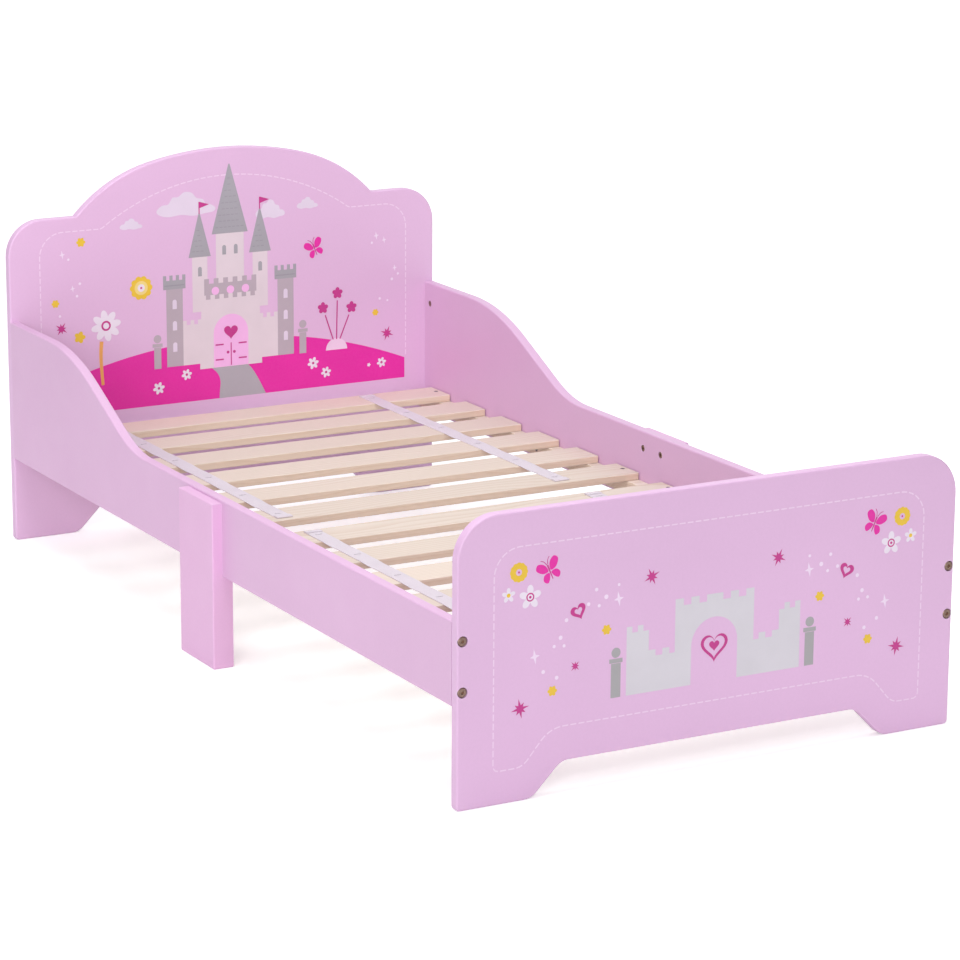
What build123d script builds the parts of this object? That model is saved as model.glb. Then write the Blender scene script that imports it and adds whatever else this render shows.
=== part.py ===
from build123d import *
import math
import os

# Toddler bed with painted board ends and sides, and two rolls of pine slats screwed to ledges.
# Millimetres, +Z up. The origin is the centre of the footprint, on the floor. +Y points to the
# headboard, and left and right are -X and +X, as seen by someone who faces the headboard.

# Driving dimensions
MATTRESS_WIDTH = 700
MATTRESS_LENGTH = 1400
BOARD = 15
EDGE_ROUND = 2.5
BED_WIDTH = MATTRESS_WIDTH + 2 * BOARD
BED_LENGTH = MATTRESS_LENGTH + 2 * BOARD

# End boards: feet, the scoop between them, and the corners
CORNER_RADIUS = 55
FOOT_CORNER_RADIUS = 5
FOOT_INNER = 260
SCOOP_HEIGHT = 42
SCOOP_RADIUS = 25
FOOTBOARD_HEIGHT = 366
SHOULDER_HEIGHT = 497
HEADBOARD_HEIGHT = 586
# The crown is a wide arc, with a tighter arc tangent to it on each flank
CROWN_RADIUS = 545
CROWN_BREAK = 130
FLANK_RADIUS = 250

# Side rails: low beside the child's legs, high at the head, joined by a straight slope
RAIL_BOTTOM = 129.5
RAIL_LOW_TOP = 237
RAIL_HIGH_TOP = 343
SLOPE_START = 250
SLOPE_END = 472
SLOPE_START_RADIUS = 200
SLOPE_END_RADIUS = 365

# Middle legs: rebated blocks that carry the rails
LEG_WIDTH = 108
LEG_DEPTH = 30
LEG_TOP = 233
LEG_ROUND = 2

# Slats, ledges and webbing
SLAT_TOP = 173
SLAT_THICKNESS = 11
SLAT_WIDTH = 64
SLAT_END_GAP = 2
SLAT_ROUND = 1.5
SLATS_PER_ROLL = 6
ROLL_START = 31.5
ROLL_END = 674
LEDGE = 20
LEDGE_ROUND = 1.5
LEDGE_END_GAP = 10
STRAP_CENTRE = 224
STRAP_WIDTH = 24
STRAP_THICKNESS = 1.2
STRAP_INSET = 10

# Frame bolts, barrel nuts and dowels in the rail ends
BOLT_RADIUS = 2.95
BOLT_HOLE_RADIUS = 3.4
BOLT_LENGTH = 40
BOLT_HOLE_DEPTH = 30
BOLT_HEAD_RADIUS = 6.2
BOLT_HEAD_HEIGHT = 3.5
BOLT_RIM = 0.9
SOCKET_RADIUS = 2.6
SOCKET_DEPTH = 2.4
COUNTERBORE_RADIUS = 7
COUNTERBORE_DEPTH = 4
FOOT_BOLT_HEIGHTS = (150, 214)
HEAD_BOLT_HEIGHTS = (150, 309)
NUT_RADIUS = 5
NUT_LENGTH = 12
NUT_BORE_RADIUS = 3
NUT_INSET = 0.5
NUT_FROM_RAIL_END = 18
NUT_SLOT = (1.2, 8, 1)
DOWEL_RADIUS = 3.95
DOWEL_LENGTH = 30
DOWEL_CHAMFER = 0.8
DOWEL_HOLE_RADIUS = 4
DOWEL_IN_BOARD = 10

# Radial clearance of barrel nuts and inserts in their holes
PRESS_CLEARANCE = 0.05

# Middle leg bolts, set from inside the rail into threaded inserts
LEG_BOLT_SPACING = 48
LEG_BOLT_HEIGHT = 211
LEG_BOLT_LENGTH = 22
LEG_BOLT_HEAD_RADIUS = 4.7
LEG_BOLT_HEAD_HEIGHT = 2.8
LEG_COUNTERBORE_RADIUS = 5.2
LEG_COUNTERBORE_DEPTH = 3
INSERT_RADIUS = 5
INSERT_LENGTH = 12

# Countersunk screws
SCREW_HEAD_ANGLE = 90
SCREW_RADIUS = 1.7
SCREW_HEAD_RADIUS = 3.5
SCREW_HOLE_RADIUS = 1.75
SCREW_SINK_RADIUS = 3.6
SCREW_RECESS = (3.6, 0.8, 1.2)
SLAT_SCREW_LENGTH = 25
LEDGE_SCREW_LENGTH = 30
LEDGE_SCREW_SPACING = 300
LEDGE_SCREW_COUNT = 5

# Staples that hold the webbing
STAPLE_CROWN = 10
STAPLE_WIRE = 0.8
STAPLE_LEG = 8
STAPLE_SLOT = 0.9

# Values that follow from the dimensions above
RAIL_OUTER = BED_WIDTH / 2
RAIL_INNER = MATTRESS_WIDTH / 2
RAIL_MIDDLE = (RAIL_OUTER + RAIL_INNER) / 2
BOARD_OUTER = BED_LENGTH / 2
BOARD_INNER = MATTRESS_LENGTH / 2
SCOOP_INNER = FOOT_INNER - SCOOP_HEIGHT
LEDGE_MIDDLE = RAIL_INNER - LEDGE / 2
LEDGE_TOP = SLAT_TOP - SLAT_THICKNESS
SLAT_PITCH = (ROLL_END - ROLL_START - SLAT_WIDTH) / (SLATS_PER_ROLL - 1)
SLAT_SEQUENCE = [ROLL_START + SLAT_WIDTH / 2 + i * SLAT_PITCH for i in range(SLATS_PER_ROLL)]
SLAT_CENTRES = SLAT_SEQUENCE[::-1] + [-y for y in SLAT_SEQUENCE]
SCREWED_CENTRES = [y for y in SLAT_CENTRES if abs(y) in (SLAT_SEQUENCE[0], SLAT_SEQUENCE[-1])]
STAPLE_OFFSET = (STAPLE_CROWN - STAPLE_WIRE) / 2
SIDES = {"left": -1, "right": 1}
ENDS = {"head": 1, "foot": -1}
BOLT_HEIGHTS = {"head": HEAD_BOLT_HEIGHTS, "foot": FOOT_BOLT_HEIGHTS}

BOTTOM = (Align.CENTER, Align.CENTER, Align.MIN)
TOP = (Align.CENTER, Align.CENTER, Align.MAX)


# Shared planes: each lies on a face of the bed, with its normal out of the material


def across_plane(side, x, y, z):
    """Plane on a face that looks to one side of the bed."""
    return Plane(origin=(x, y, z), x_dir=(0, 1, 0), z_dir=(side, 0, 0))


def along_plane(end, x, y, z):
    """Plane on a face that looks to one end of the bed."""
    return Plane(origin=(x, y, z), x_dir=(1, 0, 0), z_dir=(0, end, 0))


def bolt_planes(end_name, y):
    """Planes for the frame bolts of one end board, at a given distance from the bed's middle."""
    end = ENDS[end_name]
    return [
        along_plane(end, side * RAIL_MIDDLE, end * y, z)
        for side in SIDES.values()
        for z in BOLT_HEIGHTS[end_name]
    ]


def dowel_plane(end_name, side, facing):
    """Plane on the joint between rail and end board, at the dowel between the two bolts."""
    height = sum(BOLT_HEIGHTS[end_name]) / 2
    end = ENDS[end_name]
    return along_plane(facing * end, side * RAIL_MIDDLE, end * BOARD_INNER, height)


def leg_bolt_planes(x, facing):
    """Planes for the two bolts of one middle leg."""
    return [
        across_plane(facing, x, offset, LEG_BOLT_HEIGHT)
        for offset in (-LEG_BOLT_SPACING / 2, LEG_BOLT_SPACING / 2)
    ]


def ledge_screw_planes(side, x):
    """Planes for the screws of one ledge, whose heads look to the middle of the bed."""
    first = -LEDGE_SCREW_SPACING * (LEDGE_SCREW_COUNT - 1) / 2
    height = LEDGE_TOP - LEDGE / 2
    return [
        across_plane(-side, side * x, first + i * LEDGE_SCREW_SPACING, height)
        for i in range(LEDGE_SCREW_COUNT)
    ]


# End boards


def lower_outline(top_corner):
    """Right half of an end board, from its top corner's level down to the middle of the scoop."""
    FilletPolyline(
        top_corner,
        (RAIL_OUTER, top_corner[1]),
        (RAIL_OUTER, 0),
        (FOOT_INNER, 0),
        (SCOOP_INNER, SCOOP_HEIGHT),
        (0, SCOOP_HEIGHT),
        radius=[CORNER_RADIUS, FOOT_CORNER_RADIUS, SCOOP_RADIUS, SCOOP_RADIUS],
    )


def circle_top(x, centre, radius):
    """Height of a circle's upper side at x."""
    return centre[1] + math.sqrt(radius**2 - (x - centre[0]) ** 2)


def crown_outline():
    """Right half of the headboard's crown, and the point where it meets the shoulder."""
    centre = (0, HEADBOARD_HEIGHT - CROWN_RADIUS)
    break_point = (CROWN_BREAK, circle_top(CROWN_BREAK, centre, CROWN_RADIUS))
    toward_centre = FLANK_RADIUS / CROWN_RADIUS
    flank_centre = (
        CROWN_BREAK * (1 - toward_centre),
        break_point[1] - (break_point[1] - centre[1]) * toward_centre,
    )
    drop = SHOULDER_HEIGHT - flank_centre[1]
    meeting = (flank_centre[0] + math.sqrt(FLANK_RADIUS**2 - drop**2), SHOULDER_HEIGHT)
    crown_middle = CROWN_BREAK / 2
    flank_middle = (CROWN_BREAK + meeting[0]) / 2
    ThreePointArc(
        (0, HEADBOARD_HEIGHT),
        (crown_middle, circle_top(crown_middle, centre, CROWN_RADIUS)),
        break_point,
    )
    ThreePointArc(
        break_point,
        (flank_middle, circle_top(flank_middle, flank_centre, FLANK_RADIUS)),
        meeting,
    )
    return meeting


def drill_end_board(end_name):
    """Counterbored bolt holes from outside and blind dowel holes from inside."""
    with Locations(*bolt_planes(end_name, BOARD_OUTER)):
        CounterBoreHole(BOLT_HOLE_RADIUS, COUNTERBORE_RADIUS, COUNTERBORE_DEPTH, depth=BOARD)
    with Locations(*[dowel_plane(end_name, side, -1) for side in SIDES.values()]):
        Hole(DOWEL_HOLE_RADIUS, depth=DOWEL_IN_BOARD)


def make_headboard():
    """Headboard with a crown between two shoulders."""
    with BuildPart() as headboard:
        with BuildSketch(Plane.XZ.offset(-BOARD_INNER)):
            with BuildLine():
                lower_outline(crown_outline())
                mirror(about=Plane.YZ)
            make_face()
        extrude(amount=-BOARD)
        fillet(headboard.faces().filter_by(Axis.Y).edges(), EDGE_ROUND)
        drill_end_board("head")
    headboard.part.label = "headboard"
    return headboard


def make_footboard():
    """Lower, straight-topped footboard."""
    with BuildPart() as footboard:
        with BuildSketch(Plane.XZ.offset(BOARD_INNER)):
            with BuildLine():
                lower_outline((0, FOOTBOARD_HEIGHT))
                mirror(about=Plane.YZ)
            make_face()
        extrude(amount=BOARD)
        fillet(footboard.faces().filter_by(Axis.Y).edges(), EDGE_ROUND)
        drill_end_board("foot")
    footboard.part.label = "footboard"
    return footboard


# Side rails and middle legs


def make_side_rail(side_name):
    """Side rail, flush with the edges of the end boards, whose top sweeps up to the head."""
    side = SIDES[side_name]
    with BuildPart() as rail:
        with BuildSketch(Plane.YZ.offset(min(side * RAIL_INNER, side * RAIL_OUTER))):
            with BuildLine():
                FilletPolyline(
                    (-BOARD_INNER, RAIL_LOW_TOP),
                    (SLOPE_START, RAIL_LOW_TOP),
                    (SLOPE_END, RAIL_HIGH_TOP),
                    (BOARD_INNER, RAIL_HIGH_TOP),
                    radius=[SLOPE_START_RADIUS, SLOPE_END_RADIUS],
                )
                Polyline(
                    (BOARD_INNER, RAIL_HIGH_TOP),
                    (BOARD_INNER, RAIL_BOTTOM),
                    (-BOARD_INNER, RAIL_BOTTOM),
                    (-BOARD_INNER, RAIL_LOW_TOP),
                )
            make_face()
        extrude(amount=BOARD)
        long_edges = rail.faces().filter_by(Axis.X).edges().filter_by(Axis.Z, reverse=True)
        fillet(long_edges, EDGE_ROUND)
        for end_name, end in ENDS.items():
            at_side = [
                p for p in bolt_planes(end_name, BOARD_INNER) if p.origin.X * side > 0
            ]
            with Locations(*at_side):
                Hole(BOLT_HOLE_RADIUS, depth=BOLT_HOLE_DEPTH)
            nut_y = end * (BOARD_INNER - NUT_FROM_RAIL_END)
            nut_planes = [
                across_plane(-side, side * RAIL_INNER, nut_y, z) for z in BOLT_HEIGHTS[end_name]
            ]
            with Locations(*nut_planes):
                Hole(NUT_RADIUS, depth=NUT_LENGTH + NUT_INSET)
            with Locations(dowel_plane(end_name, side, 1)):
                Hole(DOWEL_HOLE_RADIUS, depth=DOWEL_LENGTH - DOWEL_IN_BOARD)
        with Locations(*leg_bolt_planes(side * RAIL_INNER, -side)):
            CounterBoreHole(
                BOLT_HOLE_RADIUS, LEG_COUNTERBORE_RADIUS, LEG_COUNTERBORE_DEPTH, depth=BOARD
            )
        with Locations(*ledge_screw_planes(side, RAIL_INNER)):
            Hole(SCREW_HOLE_RADIUS, depth=LEDGE_SCREW_LENGTH - LEDGE)
    rail.part.label = f"side_rail_{side_name}"
    return rail


def make_mid_leg(side_name):
    """Middle leg, rebated so that the rail stands on its lower half and against its upper."""
    side = SIDES[side_name]
    outer = side * (RAIL_INNER + LEG_DEPTH)
    with BuildPart() as leg:
        with BuildSketch(Plane.XZ.offset(-LEG_WIDTH / 2)):
            with BuildLine():
                Polyline(
                    (side * RAIL_INNER, 0),
                    (outer, 0),
                    (outer, LEG_TOP),
                    (side * RAIL_OUTER, LEG_TOP),
                    (side * RAIL_OUTER, RAIL_BOTTOM),
                    (side * RAIL_INNER, RAIL_BOTTOM),
                    close=True,
                )
            make_face()
        extrude(amount=LEG_WIDTH)
        outer_face = leg.faces().filter_by(Axis.X).sort_by(lambda face: abs(face.center().X))[-1]
        bottom_face = leg.faces().sort_by(Axis.Z)[0]
        fillet(ShapeList(set(outer_face.edges() + bottom_face.edges())), LEG_ROUND)
        with Locations(*leg_bolt_planes(side * RAIL_OUTER, -side)):
            Hole(INSERT_RADIUS, depth=INSERT_LENGTH)
    leg.part.label = f"mid_leg_{side_name}"
    return leg


# Slat base


def make_slat_ledge(side_name):
    """Square pine ledge, screwed to the rail, on which the slats lie."""
    side = SIDES[side_name]
    with BuildPart() as ledge:
        with Locations((side * LEDGE_MIDDLE, 0, LEDGE_TOP)):
            Box(LEDGE, MATTRESS_LENGTH - 2 * LEDGE_END_GAP, LEDGE, align=TOP)
        fillet(ledge.edges().filter_by(Axis.Y), LEDGE_ROUND)
        with Locations(*ledge_screw_planes(side, RAIL_INNER - LEDGE)):
            CounterSinkHole(SCREW_HOLE_RADIUS, SCREW_SINK_RADIUS, LEDGE, SCREW_HEAD_ANGLE)
        with Locations(*[(side * LEDGE_MIDDLE, y, LEDGE_TOP) for y in SCREWED_CENTRES]):
            Hole(SCREW_HOLE_RADIUS, depth=SLAT_SCREW_LENGTH - SLAT_THICKNESS)
    ledge.part.label = f"slat_ledge_{side_name}"
    return ledge


def staple_leg_points(y, z):
    """Points of the four staple legs in one slat."""
    return [
        (side * STRAP_CENTRE + leg * STAPLE_OFFSET, y, z)
        for side in SIDES.values()
        for leg in (-1, 1)
    ]


def make_slat(number, y):
    """One slat. The first and last of each roll are screwed to the ledges."""
    with BuildPart() as slat:
        with Locations((0, y, SLAT_TOP)):
            Box(MATTRESS_WIDTH - 2 * SLAT_END_GAP, SLAT_WIDTH, SLAT_THICKNESS, align=TOP)
        fillet(slat.edges().filter_by(Axis.X), SLAT_ROUND)
        with Locations(*staple_leg_points(y, SLAT_TOP)):
            Box(
                STAPLE_SLOT,
                STAPLE_SLOT,
                STAPLE_LEG - STRAP_THICKNESS,
                align=TOP,
                mode=Mode.SUBTRACT,
            )
        if y in SCREWED_CENTRES:
            with Locations(*[(side * LEDGE_MIDDLE, y, SLAT_TOP) for side in SIDES.values()]):
                CounterSinkHole(
                    SCREW_HOLE_RADIUS, SCREW_SINK_RADIUS, SLAT_THICKNESS, SCREW_HEAD_ANGLE
                )
    slat.part.label = f"slat_{number:02d}"
    return slat


def make_strap(end_name, side_name):
    """Flat webbing that ties the slats of one roll together."""
    end = ENDS[end_name]
    length = ROLL_END - ROLL_START - 2 * STRAP_INSET
    middle = end * (ROLL_START + ROLL_END) / 2
    x = SIDES[side_name] * STRAP_CENTRE
    legs = [
        (x + leg * STAPLE_OFFSET, end * y, SLAT_TOP) for y in SLAT_SEQUENCE for leg in (-1, 1)
    ]
    with BuildPart() as strap:
        with Locations((x, middle, SLAT_TOP)):
            Box(STRAP_WIDTH, length, STRAP_THICKNESS, align=BOTTOM)
        with Locations(*legs):
            Box(STAPLE_SLOT, STAPLE_SLOT, STRAP_THICKNESS, align=BOTTOM, mode=Mode.SUBTRACT)
    strap.part.label = f"strap_{end_name}_{side_name}"
    return strap


def make_strap_staples():
    """Wire staples, one where each strap crosses each slat."""
    strap_top = SLAT_TOP + STRAP_THICKNESS
    crowns = [
        (side * STRAP_CENTRE, y, strap_top) for side in SIDES.values() for y in SLAT_CENTRES
    ]
    legs = [point for y in SLAT_CENTRES for point in staple_leg_points(y, strap_top)]
    with BuildPart() as staples:
        with Locations(*crowns):
            Box(STAPLE_CROWN, STAPLE_WIRE, STAPLE_WIRE, align=BOTTOM)
        with Locations(*legs):
            Box(STAPLE_WIRE, STAPLE_WIRE, STAPLE_LEG, align=TOP)
    staples.part.label = "strap_staples"
    return staples


# Fasteners


def add_socket_bolt(seat, length, head_radius, head_height):
    """Hex-socket bolt whose head lies on the seat plane and whose shank runs inwards."""
    with Locations(seat):
        Cylinder(head_radius, head_height - BOLT_RIM, align=BOTTOM)
        Cylinder(BOLT_RADIUS, length, align=TOP)
    with Locations(seat.offset(head_height - BOLT_RIM)):
        Cone(head_radius, head_radius - BOLT_RIM, BOLT_RIM, align=BOTTOM)
    with BuildSketch(seat.offset(head_height)) as socket:
        RegularPolygon(SOCKET_RADIUS, side_count=6)
    extrude(socket.sketch, amount=-SOCKET_DEPTH, mode=Mode.SUBTRACT)


def add_screw(surface, length):
    """Countersunk cross-recess screw whose head is flush with the surface plane."""
    head_depth = SCREW_HEAD_RADIUS - SCREW_RADIUS
    with Locations(surface):
        Cone(SCREW_RADIUS, SCREW_HEAD_RADIUS, head_depth, align=TOP)
        Cylinder(SCREW_RADIUS, length, align=TOP)
        Box(*SCREW_RECESS, align=TOP, mode=Mode.SUBTRACT)
        Box(SCREW_RECESS[1], SCREW_RECESS[0], SCREW_RECESS[2], align=TOP, mode=Mode.SUBTRACT)


def make_frame_bolts(end_name):
    """The four bolts that hold both rails to one end board."""
    with BuildPart() as bolts:
        for seat in bolt_planes(end_name, BOARD_OUTER - COUNTERBORE_DEPTH):
            add_socket_bolt(seat, BOLT_LENGTH, BOLT_HEAD_RADIUS, BOLT_HEAD_HEIGHT)
    bolts.part.label = f"{end_name}board_bolts"
    return bolts


def make_barrel_nuts(end_name):
    """The four cross nuts in the rail ends at one end of the bed."""
    end = ENDS[end_name]
    y = end * (BOARD_INNER - NUT_FROM_RAIL_END)
    places = [(side, z) for side in SIDES.values() for z in BOLT_HEIGHTS[end_name]]
    faces = [across_plane(-side, side * (RAIL_INNER + NUT_INSET), y, z) for side, z in places]
    bores = [along_plane(end, side * RAIL_MIDDLE, y, z) for side, z in places]
    with BuildPart() as nuts:
        with Locations(*faces):
            Cylinder(NUT_RADIUS - PRESS_CLEARANCE, NUT_LENGTH, align=TOP)
            Box(*NUT_SLOT, align=TOP, mode=Mode.SUBTRACT)
        with Locations(*bores):
            Cylinder(NUT_BORE_RADIUS, 2 * NUT_RADIUS, mode=Mode.SUBTRACT)
    nuts.part.label = f"{end_name}board_barrel_nuts"
    return nuts


def make_locating_dowels():
    """Smooth beech dowels, one in each joint between a rail and an end board."""
    with BuildPart() as dowels:
        for end_name in ENDS:
            for side in SIDES.values():
                joint = dowel_plane(end_name, side, 1)
                with Locations(joint.offset(DOWEL_IN_BOARD)):
                    Cylinder(DOWEL_RADIUS, DOWEL_LENGTH, align=TOP)
        chamfer(dowels.edges().filter_by(GeomType.CIRCLE), DOWEL_CHAMFER)
    dowels.part.label = "locating_dowels"
    return dowels


def make_mid_leg_bolts():
    """Bolts from inside each rail into its middle leg."""
    with BuildPart() as bolts:
        for side in SIDES.values():
            seat_x = side * (RAIL_INNER + LEG_COUNTERBORE_DEPTH)
            for seat in leg_bolt_planes(seat_x, -side):
                add_socket_bolt(seat, LEG_BOLT_LENGTH, LEG_BOLT_HEAD_RADIUS, LEG_BOLT_HEAD_HEIGHT)
    bolts.part.label = "mid_leg_bolts"
    return bolts


def make_mid_leg_inserts():
    """Threaded inserts in the middle legs."""
    with BuildPart() as inserts:
        for side in SIDES.values():
            with Locations(*leg_bolt_planes(side * RAIL_OUTER, -side)):
                Cylinder(INSERT_RADIUS - PRESS_CLEARANCE, INSERT_LENGTH, align=TOP)
                Cylinder(NUT_BORE_RADIUS, INSERT_LENGTH, align=TOP, mode=Mode.SUBTRACT)
    inserts.part.label = "mid_leg_inserts"
    return inserts


def make_slat_screws():
    """Screws through both ends of the first and last slat of each roll."""
    with BuildPart() as screws:
        for side in SIDES.values():
            for y in SCREWED_CENTRES:
                add_screw(Plane((side * LEDGE_MIDDLE, y, SLAT_TOP)), SLAT_SCREW_LENGTH)
    screws.part.label = "slat_screws"
    return screws


def make_ledge_screws():
    """Screws through the ledges into the rails."""
    with BuildPart() as screws:
        for side in SIDES.values():
            for surface in ledge_screw_planes(side, RAIL_INNER - LEDGE):
                add_screw(surface, LEDGE_SCREW_LENGTH)
    screws.part.label = "ledge_screws"
    return screws


pieces = [make_headboard(), make_footboard()]
for side_label in SIDES:
    pieces.append(make_side_rail(side_label))
    pieces.append(make_mid_leg(side_label))
    pieces.append(make_slat_ledge(side_label))
for slat_number, slat_y in enumerate(SLAT_CENTRES, start=1):
    pieces.append(make_slat(slat_number, slat_y))
for end_label in ENDS:
    pieces.append(make_frame_bolts(end_label))
    pieces.append(make_barrel_nuts(end_label))
    for side_label in SIDES:
        pieces.append(make_strap(end_label, side_label))
pieces += [make_strap_staples(), make_locating_dowels(), make_mid_leg_bolts()]
pieces += [make_mid_leg_inserts(), make_slat_screws(), make_ledge_screws()]

os.makedirs("parts", exist_ok=True)
for piece in pieces:
    export_step(piece.part, f"parts/{piece.part.label}.step")
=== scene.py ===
"""Looks of a painted toddler bed: finishes, webbing, printed pictures, floor, lights and camera.

The bed's boards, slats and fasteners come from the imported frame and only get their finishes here.
New pieces are the woven straps and the thin printed layers on the two end boards.
"""

import logging
import math
from dataclasses import dataclass, field
from enum import Enum
from typing import Any

import bpy
from mathutils import Matrix, Vector

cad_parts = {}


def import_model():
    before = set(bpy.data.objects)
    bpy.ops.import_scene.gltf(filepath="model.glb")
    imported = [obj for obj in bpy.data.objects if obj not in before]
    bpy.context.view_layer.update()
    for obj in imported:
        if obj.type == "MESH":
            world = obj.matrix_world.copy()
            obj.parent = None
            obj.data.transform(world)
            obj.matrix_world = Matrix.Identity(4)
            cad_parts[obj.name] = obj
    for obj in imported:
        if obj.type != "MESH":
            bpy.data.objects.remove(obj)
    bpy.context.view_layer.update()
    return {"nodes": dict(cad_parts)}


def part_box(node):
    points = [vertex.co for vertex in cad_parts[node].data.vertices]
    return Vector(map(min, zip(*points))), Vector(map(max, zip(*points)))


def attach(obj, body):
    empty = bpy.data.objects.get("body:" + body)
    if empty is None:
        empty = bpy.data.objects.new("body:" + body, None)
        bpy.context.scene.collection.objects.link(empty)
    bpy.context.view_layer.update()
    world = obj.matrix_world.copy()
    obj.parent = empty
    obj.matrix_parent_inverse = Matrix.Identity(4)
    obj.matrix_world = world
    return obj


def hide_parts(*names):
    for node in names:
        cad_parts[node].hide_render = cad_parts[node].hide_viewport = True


LOG = logging.getLogger("toddler_bed")
MM = 0.001
BODY = "root"
BENT = 0.02  # a stitch's middle this far off its chord, in mm, makes it a bent stitch
ARC_SPANS = 36  # spans of an arc drawn through three points

Point = tuple[float, float]
Loop = list[Point]
Colour = tuple[float, float, float]


# ---------------------------------------------------------------------------------------------
# Node trees
# ---------------------------------------------------------------------------------------------


class Graph:
    """A node tree that grows by short calls."""

    def __init__(self, tree: bpy.types.NodeTree) -> None:
        """Keep the tree that nodes are added to."""
        self.tree = tree

    def feed(self, socket: bpy.types.NodeSocket, value: Any) -> None:
        """Link a socket to another, or give it a value of its own.

        Args:
            socket: Input that is filled.
            value: Output socket, number, vector or colour.
        """
        if isinstance(value, bpy.types.NodeSocket):
            self.tree.links.new(value, socket)
        elif socket.type == "RGBA" and len(value) == 3:
            socket.default_value = (*value, 1.0)
        else:
            socket.default_value = value

    def node(self, kind: str, inputs: dict | None = None, **settings: Any) -> bpy.types.Node:
        """Add a node, set its properties and fill its inputs.

        Args:
            kind: Node type without its ShaderNode prefix.
            inputs: Input name or index, and what fills it.
            **settings: Properties of the node.

        Returns:
            The new node.
        """
        node = self.tree.nodes.new("ShaderNode" + kind)
        for name, value in settings.items():
            setattr(node, name, value)
        for key, value in (inputs or {}).items():
            self.feed(node.inputs[key], value)
        return node

    def place(self) -> bpy.types.NodeSocket:
        """Object coordinates, which are the bed's own frame in metres."""
        return self.node("TexCoord").outputs["Object"]

    def math(self, operation: str, a: Any, b: Any = 0.0, clamp: bool = False) -> Any:
        """Output of a math node.

        Args:
            operation: Blender's name of the operation.
            a: First operand.
            b: Second operand.
            clamp: Whether the result is kept between 0 and 1.

        Returns:
            The node's output socket.
        """
        node = self.node("Math", {0: a, 1: b}, operation=operation, use_clamp=clamp)
        return node.outputs[0]

    def remap(self, value: Any, low: float, high: float, to_low: Any, to_high: Any) -> Any:
        """Map a value from one range to another, held at its ends.

        Args:
            value: Socket that is mapped.
            low: Low end of the first range.
            high: High end of the first range.
            to_low: Result at the low end.
            to_high: Result at the high end.

        Returns:
            The node's output socket.
        """
        inputs = {0: value, 1: low, 2: high, 3: to_low, 4: to_high}
        return self.node("MapRange", inputs).outputs[0]

    def mix(self, factor: Any, a: Any, b: Any) -> Any:
        """Mix two colours.

        Args:
            factor: Share of the second colour.
            a: First colour.
            b: Second colour.

        Returns:
            The mixed colour's socket.
        """
        return self.node("Mix", {0: factor, 6: a, 7: b}, data_type="RGBA").outputs[2]

    def noise(self, vector: Any, scale: Any, detail: float = 2.0, rough: float = 0.5) -> Any:
        """Value of a noise texture.

        Args:
            vector: Place at which the noise is read.
            scale: Cells per metre.
            detail: Octaves.
            rough: Strength of the finer octaves.

        Returns:
            The noise's value socket.
        """
        inputs = {"Vector": vector, "Scale": scale, "Detail": detail, "Roughness": rough}
        return self.node("TexNoise", inputs).outputs[0]

    def stretched(self, scale: tuple[float, float, float]) -> Any:
        """Object coordinates scaled along each axis."""
        return self.node("Mapping", {"Vector": self.place(), "Scale": scale}).outputs[0]


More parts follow.
